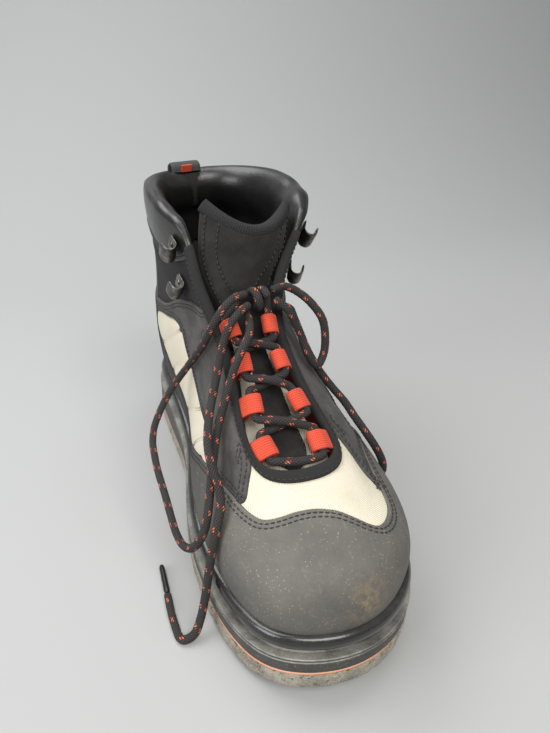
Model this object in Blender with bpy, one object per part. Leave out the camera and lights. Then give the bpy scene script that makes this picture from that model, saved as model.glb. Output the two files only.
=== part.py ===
"""A laced wading boot for the left foot: felt sole, rubber rand, hollow padded upper.

+Z is up, the toe points to -Y and the outer (lateral) side to +X. The origin is on the
floor below the middle of the boot. Lengths are in metres.
"""

import math

import bmesh
import bpy
import numpy as np

# Driving sizes of the whole boot
SOLE_LENGTH = 0.305
BALL_WIDTH = 0.120
UPPER_HEIGHT = 0.166

# Sole layers, from the floor up
FELT_THICKNESS = 0.010
STRIP_THICKNESS = 0.0015
STRIP_INSET = 0.0006
MIDSOLE_FOREFOOT = 0.016
MIDSOLE_HEEL = 0.029
GROOVE_HEIGHT = 0.0055
GROOVE_INSET = 0.0062
TOE_SPRING = 0.010
ARCH_RISE = 0.003
HEEL_BEVEL = 0.0025
INSOLE_THICKNESS = 0.0045

# Upper and what is sewn to it
FEATHER_INSET = 0.0075
LOW_WALL_HEIGHT = 0.016
LOW_WALL_BULGE = 0.002
LIP_HEIGHT = 0.008
LIP_THICKNESS = 0.0045
WALL = 0.0022
OVERLAY = 0.0011
COLLAR_PAD = 0.0085
COLLAR_SWELL = 0.0025

# Clearance between pieces that meet
GAP = 0.0003

# Points round each outline, and rows in the two lower zones of the upper's wall
ROUND = 66
LOW_ROWS, PANEL_ROWS = 6, 4

# Sole's edge, toe to heel. Columns: along (share of SOLE_LENGTH from the heel), lateral and
# medial (shares of half BALL_WIDTH).
SOLE_ROWS = (
    (1.000, -0.17, -0.17),
    (0.972, 0.34, -0.66),
    (0.899, 0.75, -0.90),
    (0.799, 0.96, -0.995),
    (0.686, 1.00, -1.00),
    (0.569, 0.985, -0.90),
    (0.450, 0.89, -0.76),
    (0.330, 0.80, -0.73),
    (0.220, 0.75, -0.73),
    (0.116, 0.70, -0.70),
    (0.038, 0.48, -0.50),
    (0.000, -0.015, -0.015),
)

# Four lines round the upper, above the low wall. Columns: along, lateral, medial as above,
# and height above the sole's top as a share of UPPER_HEIGHT.
SHOULDER_ROWS = (
    (0.951, -0.14, -0.14, 0.229),
    (0.934, 0.27, -0.50, 0.229),
    (0.882, 0.59, -0.74, 0.217),
    (0.793, 0.79, -0.86, 0.217),
    (0.685, 0.86, -0.88, 0.226),
    (0.570, 0.83, -0.78, 0.247),
    (0.456, 0.74, -0.68, 0.265),
    (0.344, 0.69, -0.70, 0.283),
    (0.233, 0.67, -0.71, 0.304),
    (0.125, 0.63, -0.67, 0.328),
    (0.049, 0.43, -0.46, 0.346),
    (0.020, 0.00, 0.00, 0.349),
)
CROWN_ROWS = (
    (0.892, -0.13, -0.13, 0.292),
    (0.880, 0.19, -0.43, 0.288),
    (0.842, 0.44, -0.62, 0.282),
    (0.770, 0.57, -0.72, 0.302),
    (0.675, 0.64, -0.73, 0.343),
    (0.580, 0.64, -0.68, 0.386),
    (0.485, 0.60, -0.62, 0.437),
    (0.384, 0.57, -0.68, 0.488),
    (0.282, 0.65, -0.71, 0.542),
    (0.170, 0.61, -0.68, 0.584),
    (0.075, 0.41, -0.46, 0.608),
    (0.039, 0.01, 0.01, 0.614),
)
INSTEP_ROWS = (
    (0.840, -0.12, -0.12, 0.336),
    (0.828, 0.20, -0.42, 0.334),
    (0.789, 0.38, -0.58, 0.350),
    (0.722, 0.41, -0.63, 0.396),
    (0.645, 0.40, -0.61, 0.462),
    (0.563, 0.37, -0.57, 0.540),
    (0.482, 0.38, -0.56, 0.633),
    (0.407, 0.50, -0.65, 0.717),
    (0.311, 0.69, -0.73, 0.765),
    (0.190, 0.67, -0.71, 0.801),
    (0.095, 0.42, -0.51, 0.819),
    (0.062, -0.03, -0.03, 0.825),
)
EDGE_ROWS = (
    (0.793, -0.10, -0.10, 0.370),
    (0.778, 0.21, -0.40, 0.378),
    (0.735, 0.27, -0.50, 0.420),
    (0.676, 0.18, -0.49, 0.500),
    (0.614, 0.12, -0.46, 0.592),
    (0.555, 0.12, -0.49, 0.690),
    (0.503, 0.28, -0.60, 0.820),
    (0.449, 0.60, -0.66, 0.952),
    (0.351, 0.80, -0.78, 0.982),
    (0.213, 0.79, -0.77, 0.994),
    (0.108, 0.45, -0.56, 1.000),
    (0.075, -0.08, -0.08, 1.000),
)
# How far up the upper each line lies: feather line 0, opening's edge 1
LINE_PLACES = (0.0, 0.11, 0.33, 0.56, 0.78, 1.0)


def ring(rows):
    """Stations round a closed line, toe to lateral to heel to medial: side, along, rest."""
    lateral = [(row[1], row[0], *row[3:]) for row in rows]
    medial = [(row[2], row[0], *row[3:]) for row in rows[-2:0:-1]]
    return np.array(lateral + medial, float)


def closed_spline(points, s):
    """Smooth closed curve through the points, at shares s of the way round."""
    p = np.asarray(points, float)
    count = len(p)
    one = np.eye(count)
    system = 4 * one + np.roll(one, 1, 1) + np.roll(one, -1, 1)
    bend = np.linalg.solve(system, 6 * (np.roll(p, -1, 0) - 2 * p + np.roll(p, 1, 0)))
    u = (np.asarray(s, float) % 1.0) * count
    i = np.floor(u).astype(int) % count
    f = (u - np.floor(u))[..., None]
    j = (i + 1) % count
    g = 1 - f
    return g * p[i] + f * p[j] + ((g**3 - g) * bend[i] + (f**3 - f) * bend[j]) / 6


def ramp(x, start, end):
    """0 before start, 1 after end, smooth between."""
    u = np.clip((x - start) / (end - start), 0, 1)
    return u * u * (3 - 2 * u)


def along(y):
    """Share of the sole's length from the heel at a place y."""
    return 0.5 - y / SOLE_LENGTH


def toe_spring(y):
    return TOE_SPRING * (np.clip(along(y) - 0.80, 0, None) / 0.20) ** 2


def felt_bottom(y):
    """Underside of the felt: flat under the forefoot and the heel, raised between and at both ends."""
    arch = ARCH_RISE * np.sin(np.pi * np.clip((along(y) - 0.30) / 0.26, 0, 1)) ** 2
    heel = HEEL_BEVEL * (np.clip(0.05 - along(y), 0, None) / 0.05) ** 2
    return toe_spring(y) + arch + heel


def strip_bottom(y):
    return felt_bottom(y) + FELT_THICKNESS + GAP


def midsole_bottom(y):
    return strip_bottom(y) + STRIP_THICKNESS + GAP


def sole_top(y):
    """Top of the midsole, which the upper and the insole stand on."""
    heel_share = 1 - ramp(along(y), 0.22, 0.62)
    thickness = MIDSOLE_FOREFOOT + (MIDSOLE_HEEL - MIDSOLE_FOREFOOT) * heel_share
    return toe_spring(y) + FELT_THICKNESS + STRIP_THICKNESS + 2 * GAP + thickness


def place_rows(rows):
    """Table rows as points: x, y and, where the table has it, height above the sole's top."""
    points = ring(rows)
    points[:, 0] *= BALL_WIDTH / 2
    points[:, 1] = (0.5 - points[:, 1]) * SOLE_LENGTH
    points[:, 2:] *= UPPER_HEIGHT
    return points


def outline(s, inset=0.0):
    """The sole's outline moved inwards, as x and y."""
    points, s = place_rows(SOLE_ROWS), np.asarray(s, float)
    step = 1e-4
    way = closed_spline(points, s + step) - closed_spline(points, s - step)
    way /= np.linalg.norm(way, axis=-1, keepdims=True)
    return closed_spline(points, s) - inset * np.stack([way[..., 1], -way[..., 0]], -1)


def upper_lines(s):
    """The upper's six lines at stations s, bottom to top."""
    lines = []
    for inset, height in ((FEATHER_INSET, 0.0), (FEATHER_INSET - LOW_WALL_BULGE, LOW_WALL_HEIGHT)):
        plan = outline(s, inset)
        lines.append(np.concatenate([plan, sole_top(plan[..., 1:]) + GAP + height], -1))
    for rows in (SHOULDER_ROWS, CROWN_ROWS, INSTEP_ROWS, EDGE_ROWS):
        line = closed_spline(place_rows(rows), s)
        line[..., 2] += sole_top(line[..., 1]) + GAP
        lines.append(line)
    return np.array(lines)


def line_bends():
    """How each line's place bends the natural spline that runs up the upper."""
    places = np.array(LINE_PLACES)
    span = np.diff(places)
    system, load = np.eye(len(places)), np.zeros((len(places), len(places)))
    for i in range(1, len(places) - 1):
        before, after = span[i - 1], span[i]
        system[i, i - 1 : i + 2] = before, 2 * (before + after), after
        load[i, i - 1 : i + 2] = 6 / before, -6 / before - 6 / after, 6 / after
    return np.linalg.solve(system, load)


def line_weights(t):
    """What each of the six lines adds to a point t of the way up."""
    places, bends = np.array(LINE_PLACES), line_bends()
    t = np.clip(np.asarray(t, float), 0, 1)
    i = np.clip(np.searchsorted(places, t, side="right") - 1, 0, len(places) - 2)
    span = places[i + 1] - places[i]
    f = (t - places[i]) / span
    g = 1 - f
    weights = np.zeros(t.shape + (len(places),))
    np.put_along_axis(weights, i[..., None], g[..., None], -1)
    np.put_along_axis(weights, i[..., None] + 1, f[..., None], -1)
    scale = (span * span / 6)[..., None]
    weights += (g**3 - g)[..., None] * bends[i] * scale
    return weights + (f**3 - f)[..., None] * bends[i + 1] * scale


def upper_face(s, t):
    """The upper's surface: s is the share of the way round, t the share of the way up."""
    s, t = np.broadcast_arrays(np.asarray(s, float), np.asarray(t, float))
    return np.einsum("...l,l...c->...c", line_weights(t), upper_lines(s))


def upper_out(s, t):
    """Outward direction of the upper's surface."""
    step = 1e-3
    low, high = np.maximum(np.asarray(t) - step, 0), np.minimum(np.asarray(t) + step, 1)
    around = upper_face(np.asarray(s) + step, t) - upper_face(np.asarray(s) - step, t)
    up = upper_face(s, high) - upper_face(s, low)
    out = np.cross(around, up)
    return out / np.linalg.norm(out, axis=-1, keepdims=True)


# Panels of the upper. Columns: station (22 go round, toe 0, heel 11, lateral first), top of
# the rand and toe cap, lower edge of the eyestay, both as places up the upper. The textile
# panel lies sunk between the two, and where they meet there is none.
PANEL_ROWS_TABLE = (
    (0.0, 0.71, 0.97),
    (0.5, 0.66, 0.97),
    (0.9, 0.58, 0.97),
    (1.3, 0.48, 0.97),
    (1.9, 0.455, 0.97),
    (2.3, 0.455, 0.97),
    (2.7, 0.50, 0.50),
    (3.4, 0.515, 0.515),
    (3.95, 0.475, 0.475),
    (4.2, 0.43, 0.56),
    (4.6, 0.37, 0.56),
    (5.2, 0.26, 0.53),
    (5.7, 0.24, 0.51),
    (6.4, 0.24, 0.54),
    (7.0, 0.245, 0.59),
    (7.8, 0.265, 0.51),
    (8.6, 0.29, 0.41),
    (8.8, 0.35, 0.35),
    (11.0, 0.47, 0.47),
    (13.2, 0.35, 0.35),
    (13.4, 0.29, 0.41),
    (14.2, 0.265, 0.51),
    (15.0, 0.245, 0.59),
    (15.6, 0.24, 0.54),
    (16.3, 0.24, 0.51),
    (16.8, 0.26, 0.53),
    (17.4, 0.37, 0.56),
    (17.8, 0.43, 0.56),
    (18.05, 0.475, 0.475),
    (19.3, 0.58, 0.58),
    (19.8, 0.60, 0.72),
    (20.3, 0.62, 0.97),
    (21.0, 0.68, 0.97),
    (21.5, 0.71, 0.97),
    (22.0, 0.71, 0.97),
)
STATIONS = 22
PANEL_STEP = 0.007
LEAST_PANEL = 0.03
# Panels that end above this place reach the throat's binding
OPEN_PANEL = 0.95

# Padded collar: from the front corner on one side round the heel to the other
COLLAR_STATIONS = (6.6, 7.8)
COLLAR_FOOT, COLLAR_MIDDLE, COLLAR_END = 0.78, 0.905, 1.006
# Rows of the wall above the eyestay's lower edge, as shares of what is left
HIGH_SHARES = (0.0, 0.3, 0.5, 0.66, 0.79, 0.89, 0.95, 1.0)
# Rows of the wall's inner face, from the edge down
INNER_PLACES = (1.0, 0.955, 0.905, 0.84, 0.75, 0.64, 0.5, 0.35, 0.2, 0.08, 0.0)

# Binding along the throat: half its width lies on each side of the wall's edge
BINDING_WIDTH, BINDING_TOP, BINDING_UNDER, BINDING_REACH = 0.0056, 0.0018, 0.0012, 0.0017
BINDING_END = 20

# Webbing loops, from toe to shin: stations on the lateral side, mirrored on the medial side
LOOP_STATIONS = (1.75, 2.95, 3.9, 4.76)
WEBBING_WIDTH, WEBBING = 0.0112, 0.0012
EYE_RADIUS, EYE_REACH, EYE_DROP = 0.0046, 0.0088, -0.0008
TAIL_LENGTH, TAIL_START, TAIL_DROP = 0.0025, 0.0036, 0.0060

# Lace: its diameter, how far the strands of a crossing pass above each other, and how far the
# lowest bar lies inside the throat
LACE, LACE_LIFT, BAR_REACH = 0.0046, 0.0026, 0.0052
# Where the lace is held straight in and beside an eye, in webbing widths towards the toe
LACE_STOPS = (0.70, 0.5, 0.0, -0.5, -0.70)
# Routes of its free parts, in millimetres on the boot at its drawn size. Each starts at the knot.
DRAWN_SIZE = (0.120, 0.305, 0.166)
KNOT_PLACE = (-4.5, -17, 157)
KNOT_RADIUS, KNOT_PITCH, KNOT_TURNS = 0.0050, 0.0054, 1.4
CORD_ROUTES = {
    "lace_bow_medial": (
        (-11.5, -17, 161), (-20.5, -21, 161), (-30, -26.3, 156), (-36, -22.5, 142),
        (-38, -14, 130), (-42, 3, 110), (-57, 4, 89), (-70, -6, 70), (-73, -24, 60),
        (-72, -46, 50), (-70.5, -70, 40), (-66.5, -83, 44), (-61, -89, 58), (-56.5, -86, 71),
        (-50, -73, 88), (-42, -58, 103), (-36, -52.5, 116), (-27.5, -46.5, 135.5),
        (-20.5, -40.5, 142.5), (-15.5, -34, 146.5), (-13.5, -26, 149.5), (-12.5, -18, 151.5),
    ),
    "lace_end_medial": (
        (-11.5, -21, 156), (-20, -28, 155), (-27.5, -32, 148.5), (-32, -35, 138),
        (-36.5, -40, 126), (-41, -46, 116), (-45.5, -54, 109), (-50, -65.5, 101), (-51, -75, 94),
        (-49.5, -86.5, 80.5), (-54.5, -95, 68), (-58, -97.5, 55), (-60.5, -98.5, 40), (-64, -101, 22),
        (-70, -106, 7), (-78, -109, 2.6), (-81, -95, 2.6), (-80.5, -77, 2.6),
    ),
    "lace_bow_lateral": (
        (2.9, -17, 161), (13, -14.5, 161), (21, -16, 156.5), (28, -20.5, 149.5), (33, -24.5, 140.5),
        (34, -27, 130.5), (32, -30.5, 121), (27, -34.5, 117), (22, -34.5, 121), (20, -30, 129.5),
        (16.5, -26.5, 139), (11, -26, 150.5), (2.9, -22.4, 158.0),
    ),
    "lace_end_lateral": (
        (6.0, -19.0, 152), (12, -19.5, 151), (17.5, -15.5, 144), (22, -15.5, 134),
        (25.5, -21, 122.5), (29, -29.5, 113), (35, -37, 103), (40, -43, 96.5), (44, -54, 88),
        (49.5, -63, 78), (56, -65, 66), (61.5, -62, 53), (66, -54, 38), (72, -42, 18),
        (74, -28, 3.5), (75, -14, 2.6), (72, 4, 2.6),
    ),
}
CORD_SPACING = 0.0100
TIP_LENGTH, TIP_DIAMETER = 0.020, 0.0038

# Tongue, toe end to top. Columns: station and place up the wall. As shares of UPPER_HEIGHT:
# how far its lateral and medial side lie inside the wall, how far each stands above that
# place, and how far its middle lies forward of and above its sides.
TONGUE_ROWS = (
    (1.2, 0.86, 0.057, 0.057, 0.0, 0.0, 0.006, 0.004),
    (2.0, 0.92, 0.057, 0.057, 0.0, 0.0, 0.014, 0.016),
    (2.9, 0.93, 0.057, 0.057, 0.0, 0.0, 0.016, 0.020),
    (3.8, 0.93, 0.057, 0.057, 0.0, 0.0, 0.016, 0.020),
    (4.7, 0.93, 0.057, 0.057, 0.0, 0.0, 0.011, 0.012),
    (5.4, 0.94, 0.050, 0.045, 0.0, 0.0, 0.009, 0.006),
    (6.0, 0.95, 0.034, 0.026, 0.0, 0.0, 0.030, 0.008),
    (6.55, 0.95, 0.024, 0.026, 0.0, 0.0, 0.068, -0.005),
    (6.75, 0.95, 0.024, 0.036, 0.036, 0.060, 0.088, -0.035),
    (6.9, 0.95, 0.024, 0.052, 0.080, 0.127, 0.102, -0.071),
)
TONGUE_THICKNESS = 0.0055
TONGUE_OVERLAY = 0.0010
# Across the tongue: shares from its lateral to its medial side, and where the overlay lies
TONGUE_SHARES = (0.0, 0.09, 0.20, 0.222, 0.34, 0.5, 0.66, 0.778, 0.80, 0.91, 1.0)
TONGUE_RAISED = (0, 0, 0, 1, 1, 1, 1, 1, 0, 0, 0)
TONGUE_BINDING = 0.0052

# Speed hooks at the shaft's front edge: station and place up the wall
HOOK_PLACES = ((7.15, 0.93), (6.85, 0.81))
HOOK_WIDTH, HOOK_SHEET = 0.0118, 0.0012
# How far a hook's plate reaches, in stations and in places up the wall
HOOK_SPREAD = (0.22, 0.045)
# A hook's bent strip. Columns: towards the throat and out from the wall.
HOOK_STRIP = (
    (-0.0046, 0.0),
    (0.0032, 0.0),
    (0.0056, 0.0013),
    (0.0068, 0.0036),
    (0.0062, 0.0062),
    (0.0038, 0.0078),
    (-0.0012, 0.0082),
)

# Pull loop over the back of the collar
PULL_STATION = 11.15
PULL_HALF_WIDTH, PULL_SHEET, PULL_RISE = 0.34, 0.0018, 0.0055
PULL_FOOT = 0.86
TAB_WIDTH = 0.008


def panel_edges(s):
    """Top of the rand and lower edge of the eyestay at shares s of the way round, and whether a panel is sunk there."""
    rows = np.array(PANEL_ROWS_TABLE)
    station = (np.asarray(s, float) % 1.0) * STATIONS
    low = np.interp(station, rows[:, 0], rows[:, 1])
    high = np.interp(station, rows[:, 0], rows[:, 2])
    return low, np.maximum(high, low + LEAST_PANEL), (high - low > LEAST_PANEL).astype(float)


def collar_share(s, t):
    """How much of the collar's padding there is: a half round bead that starts behind the throat."""
    side = np.minimum(np.asarray(s) % 1.0, 1 - np.asarray(s) % 1.0) * STATIONS
    reach = np.where(t > COLLAR_MIDDLE, COLLAR_END - COLLAR_MIDDLE, COLLAR_MIDDLE - COLLAR_FOOT)
    bead = np.sqrt(np.clip(1 - ((t - COLLAR_MIDDLE) / reach) ** 2, 0, 1))
    return ramp(side, *COLLAR_STATIONS) * bead


def wall_faces(s, t, raised):
    """Outer and inner face of the upper's wall at s and t; raised is 1 on an overlay."""
    face, out = upper_face(s, t), upper_out(s, t)
    level = ramp(t, 0.0, 0.06)[..., None]
    flat = out * [1, 1, 0]
    flat /= np.linalg.norm(flat, axis=-1, keepdims=True)
    out = flat + (out - flat) * level
    out /= np.linalg.norm(out, axis=-1, keepdims=True)
    pad = collar_share(s, t)
    outer = face + out * (OVERLAY * raised + COLLAR_SWELL * pad)[..., None]
    inner = face - out * (WALL + COLLAR_PAD * pad)[..., None]
    for side in (outer, inner):
        foot = t <= 0
        side[foot, 2] = sole_top(side[foot, 1]) + GAP
    return outer, inner


# Blender objects from here on
for old in list(bpy.data.objects):
    bpy.data.objects.remove(old)


def collection(name):
    made = bpy.data.collections.new(name)
    bpy.context.scene.collection.children.link(made)
    return made


BOOT = collection("wading_boot")


def material(name, colour, roughness, metallic=0.0):
    made = bpy.data.materials.new(name)
    made.use_nodes = True
    shader = made.node_tree.nodes["Principled BSDF"]
    shader.inputs["Base Color"].default_value = (*colour, 1)
    shader.inputs["Roughness"].default_value = roughness
    shader.inputs["Metallic"].default_value = metallic
    return made


def add_object(name, data, finish):
    made = bpy.data.objects.new(name, data)
    data.materials.append(finish)
    BOOT.objects.link(made)
    return made


def solid(name, points, faces, finish):
    """One closed mesh object, its faces turned outwards."""
    mesh = bpy.data.meshes.new(name)
    mesh.from_pydata([tuple(p) for p in points], [], faces)
    work = bmesh.new()
    work.from_mesh(mesh)
    bmesh.ops.recalc_face_normals(work, faces=work.faces)
    bmesh.ops.triangulate(work, faces=work.faces, quad_method="FIXED")
    work.to_mesh(mesh)
    work.free()
    mesh.shade_smooth()
    mesh.set_sharp_from_angle(angle=math.radians(35))
    return add_object(name, mesh, finish)


def band_faces(rings, count, first=0, closed_count=True, closed_rings=False):
    """Quads between successive rings of count points."""
    faces = []
    for r in range(rings if closed_rings else rings - 1):
        a, b = first + r * count, first + (r + 1) % rings * count
        for i in range(count if closed_count else count - 1):
            j = (i + 1) % count
            faces.append((a + i, a + j, b + j, b + i))
    return faces


def ladder_faces(first, count):
    """Fills a ring from side to side: station i with its mirror station."""
    faces = [(first, first + 1, first + count - 1)]
    for i in range(1, count // 2 - 1):
        faces.append((first + i, first + i + 1, first + count - i - 1, first + count - i))
    half = count // 2
    return faces + [(first + half - 1, first + half, first + half + 1)]


ROUND_SHARES = np.arange(ROUND) / ROUND


def slab(name, levels, finish):
    """A layer of the sole: levels are (inset, height function), from the floor up."""
    rings = []
    for inset, height in levels:
        plan = outline(ROUND_SHARES, inset)
        rings.append(np.column_stack([plan, height(plan[:, 1])]))
    faces = ladder_faces(0, ROUND) + band_faces(len(rings), ROUND)
    faces += ladder_faces((len(rings) - 1) * ROUND, ROUND)
    return solid(name, np.concatenate(rings), faces, finish)


def make_sole():
    felt = material("felt", (0.16, 0.15, 0.13), 1.0)
    strip = material("tan_rubber", (0.62, 0.33, 0.17), 0.7)
    rubber = material("black_rubber", (0.03, 0.03, 0.03), 0.6)
    foam = material("insole_foam", (0.10, 0.10, 0.10), 0.9)
    slab("felt_outsole", [(0.0, felt_bottom), (0.0, lambda y: felt_bottom(y) + FELT_THICKNESS)], felt)
    slab(
        "tan_strip",
        [(STRIP_INSET, strip_bottom), (STRIP_INSET, lambda y: strip_bottom(y) + STRIP_THICKNESS)],
        strip,
    )
    chamfer = 0.001

    def ledge(y):
        return sole_top(y) - GROOVE_HEIGHT

    slab(
        "midsole",
        [
            (STRIP_INSET, midsole_bottom),
            (0.0, lambda y: midsole_bottom(y) + chamfer),
            (0.0, lambda y: ledge(y) - chamfer),
            (chamfer, ledge),
            (GROOVE_INSET, ledge),
            (GROOVE_INSET, sole_top),
        ],
        rubber,
    )
    inset = FEATHER_INSET + WALL + 4 * GAP
    slab(
        "insole",
        [(inset, lambda y: sole_top(y) + GAP), (inset, lambda y: sole_top(y) + GAP + INSOLE_THICKNESS)],
        foam,
    )


def make_lip():
    """Rounded rubber lip that covers the upper's foot all the way round."""
    outer, _ = wall_faces(ROUND_SHARES, np.zeros(ROUND), np.ones(ROUND))
    top_place = 0.11 * LIP_HEIGHT / LOW_WALL_HEIGHT
    above, _ = wall_faces(ROUND_SHARES, np.full(ROUND, top_place), np.ones(ROUND))
    out = upper_out(ROUND_SHARES, np.full(ROUND, 0.05)) * [1, 1, 0]
    out /= np.linalg.norm(out, axis=1, keepdims=True)
    bottom = outer[:, 2:] * [0, 0, 1]
    rings = []
    for share, up in ((0.07, 0.0), (0.8, 0.0), (1.0, 0.35), (0.85, 0.8), (0.5, 1.0), (0.07, 1.0)):
        base = outer + (above - outer) * up
        rings.append(base * [1, 1, 0] + bottom + out * LIP_THICKNESS * share + [0, 0, LIP_HEIGHT * up])
    faces = band_faces(len(rings), ROUND, closed_rings=True)
    solid("foxing_lip", np.concatenate(rings), faces, material("glossy_rubber", (0.02, 0.02, 0.02), 0.2))


def make_upper():
    """The hollow upper: sunk textile panels between overlays, and a padded collar."""
    s = ROUND_SHARES
    low, high, sunk = panel_edges(s)
    outer_rings, inner_rings = [], []
    for f in np.linspace(0, 1, LOW_ROWS):
        outer_rings.append((low * f, np.ones(ROUND)))
    for f in np.linspace(0, 1, PANEL_ROWS):
        start, end = low + PANEL_STEP, high - PANEL_STEP
        outer_rings.append((start + (end - start) * f, 1 - sunk))
    for f in HIGH_SHARES:
        top = np.where(high > OPEN_PANEL, 1 - sunk, 1.0)
        outer_rings.append((high + (1 - high) * f, top))
    for f in INNER_PLACES:
        inner_rings.append((np.full(ROUND, f), np.ones(ROUND)))
    points = [wall_faces(s, t, raised)[0] for t, raised in outer_rings]
    points += [wall_faces(s, t, raised)[1] for t, raised in inner_rings]
    faces = band_faces(len(points), ROUND, closed_rings=True)
    solid("upper", np.concatenate(points), faces, material("nubuck", (0.06, 0.06, 0.065), 0.8))


def wall_place(station, place, side):
    """Point on the wall, with its outward, inward (up the wall) and toe-ward directions; side is 1 lateral, -1 medial."""
    s = np.array([station / STATIONS * side])
    t = np.array([min(place, 0.999)])
    outer, inner = wall_faces(s, t, np.ones(1))
    out = upper_out(s, t)[0]
    step = 1e-3
    toe = (upper_face(s - step, t) - upper_face(s + step, t))[0] * side
    toe /= np.linalg.norm(toe)
    up = np.cross(toe, out) * side
    return outer[0], inner[0], out, up, toe


def sheet(name, middle, thickness, finish):
    """Closed solid about a grid of middle points, thickness given per point or for all."""
    rows, columns = middle.shape[:2]
    across = np.gradient(middle, axis=1)
    down = np.gradient(middle, axis=0)
    normal = np.cross(across, down)
    normal /= np.linalg.norm(normal, axis=-1, keepdims=True)
    half = normal * (np.broadcast_to(thickness, (rows, columns)) / 2)[..., None]
    points = np.concatenate([(middle + half).reshape(-1, 3), (middle - half).reshape(-1, 3)])
    back = rows * columns
    faces = []
    for r in range(rows - 1):
        for c in range(columns - 1):
            a = r * columns + c
            faces.append((a, a + 1, a + columns + 1, a + columns))
            faces.append((back + a, back + a + columns, back + a + columns + 1, back + a + 1))
    rim = [c for c in range(columns)]
    rim += [r * columns + columns - 1 for r in range(1, rows)]
    rim += [(rows - 1) * columns + c for c in range(columns - 2, -1, -1)]
    rim += [r * columns for r in range(rows - 2, 0, -1)]
    for a, b in zip(rim, rim[1:] + rim[:1]):
        faces.append((a, a + back, b + back, b))
    return solid(name, points, faces, finish)


def tube(name, route, radius, finish, sides=6):
    """Closed round bar along a smooth route of points."""
    route = np.asarray(route, float)
    way = np.gradient(route, axis=0)
    way /= np.linalg.norm(way, axis=1, keepdims=True)
    normal = np.cross(way[0], (0.31, 0.22, 0.93))
    rings = []
    for place, ahead in zip(route, way):
        normal = normal - ahead * (normal @ ahead)
        normal /= np.linalg.norm(normal)
        beside = np.cross(ahead, normal)
        turn = 2 * np.pi * (np.arange(sides) + 0.5) / sides
        rings.append(place + radius * (np.outer(np.cos(turn), normal) + np.outer(np.sin(turn), beside)))
    faces = band_faces(len(rings), sides)
    faces.append(tuple(range(sides)))
    faces.append(tuple((len(rings) - 1) * sides + k for k in range(sides)))
    return solid(name, np.concatenate(rings), faces, finish)


def open_spline(points, count):
    """Evenly spaced points on a smooth curve through the given points."""
    p = np.asarray(points, float)
    ahead = np.vstack([2 * p[0] - p[1], p, 2 * p[-1] - p[-2]])
    fine = []
    for i in range(1, len(ahead) - 2):
        a, b, c, d = ahead[i - 1 : i + 3]
        u = np.linspace(0, 1, 24, endpoint=False)[:, None]
        fine.append(
            ((-u + 2 * u**2 - u**3) * a + (2 - 5 * u**2 + 3 * u**3) * b
             + (u + 4 * u**2 - 3 * u**3) * c + (u**3 - u**2) * d) / 2
        )
    fine = np.vstack(fine + [p[-1:]])
    length = np.concatenate([[0], np.cumsum(np.linalg.norm(np.diff(fine, axis=0), axis=1))])
    even = np.linspace(0, length[-1], count)
    return np.column_stack([np.interp(even, length, fine[:, k]) for k in range(3)])


def make_binding():
    """Folded textile binding round the edge of the throat."""
    s = np.arange(-BINDING_END, BINDING_END + 1) / ROUND
    one = np.ones(len(s))
    edge_outer, edge_inner = wall_faces(s, one, one)
    out = upper_out(s, one)
    step = 0.02
    share = step / np.linalg.norm(upper_face(s, one) - upper_face(s, one - step), axis=1)
    up = np.cross(out, upper_face(s + 1e-3, one) - upper_face(s - 1e-3, one))
    up /= np.linalg.norm(up, axis=1, keepdims=True)
    low, middle = one - share * BINDING_WIDTH, one - share * BINDING_WIDTH * 0.5
    low_outer, _ = wall_faces(s, low, one)
    mid_outer, low_inner = wall_faces(s, middle, one)
    low_out, mid_out = upper_out(s, low), upper_out(s, middle)
    rings = [
        low_outer + low_out * GAP * 2,
        low_outer + low_out * BINDING_TOP * 0.6,
        mid_outer + mid_out * BINDING_TOP,
        edge_outer + out * BINDING_TOP,
        edge_outer + up * BINDING_REACH,
        edge_inner + up * BINDING_REACH,
        edge_inner - out * BINDING_UNDER,
        low_inner - mid_out * BINDING_UNDER,
        low_inner - mid_out * GAP * 2,
        edge_inner + up * GAP - out * GAP,
        edge_outer + up * GAP + out * GAP,
    ]
    points = np.stack(rings, 1).reshape(-1, 3)
    count = len(rings)
    faces = band_faces(len(s), count)
    last = (len(s) - 1) * count
    for a, b, c, d in ((0, 1, 2, 10), (2, 3, 4, 10), (4, 5, 9, 10), (5, 6, 7, 9)):
        faces.append((a, b, c, d))
        faces.append((last + a, last + b, last + c, last + d))
    faces.append((7, 8, 9))
    faces.append((last + 7, last + 8, last + 9))
    solid("throat_binding", points, faces, material("black_textile", (0.03, 0.03, 0.03), 0.9))


def eye_frame(station, side):
    """Middle of a webbing loop's eye, and its directions."""
    outer, inner, out, up, toe = wall_place(station, 1.0, side)
    return (outer + inner) / 2 + up * EYE_REACH - out * EYE_DROP, out, up, toe


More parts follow.
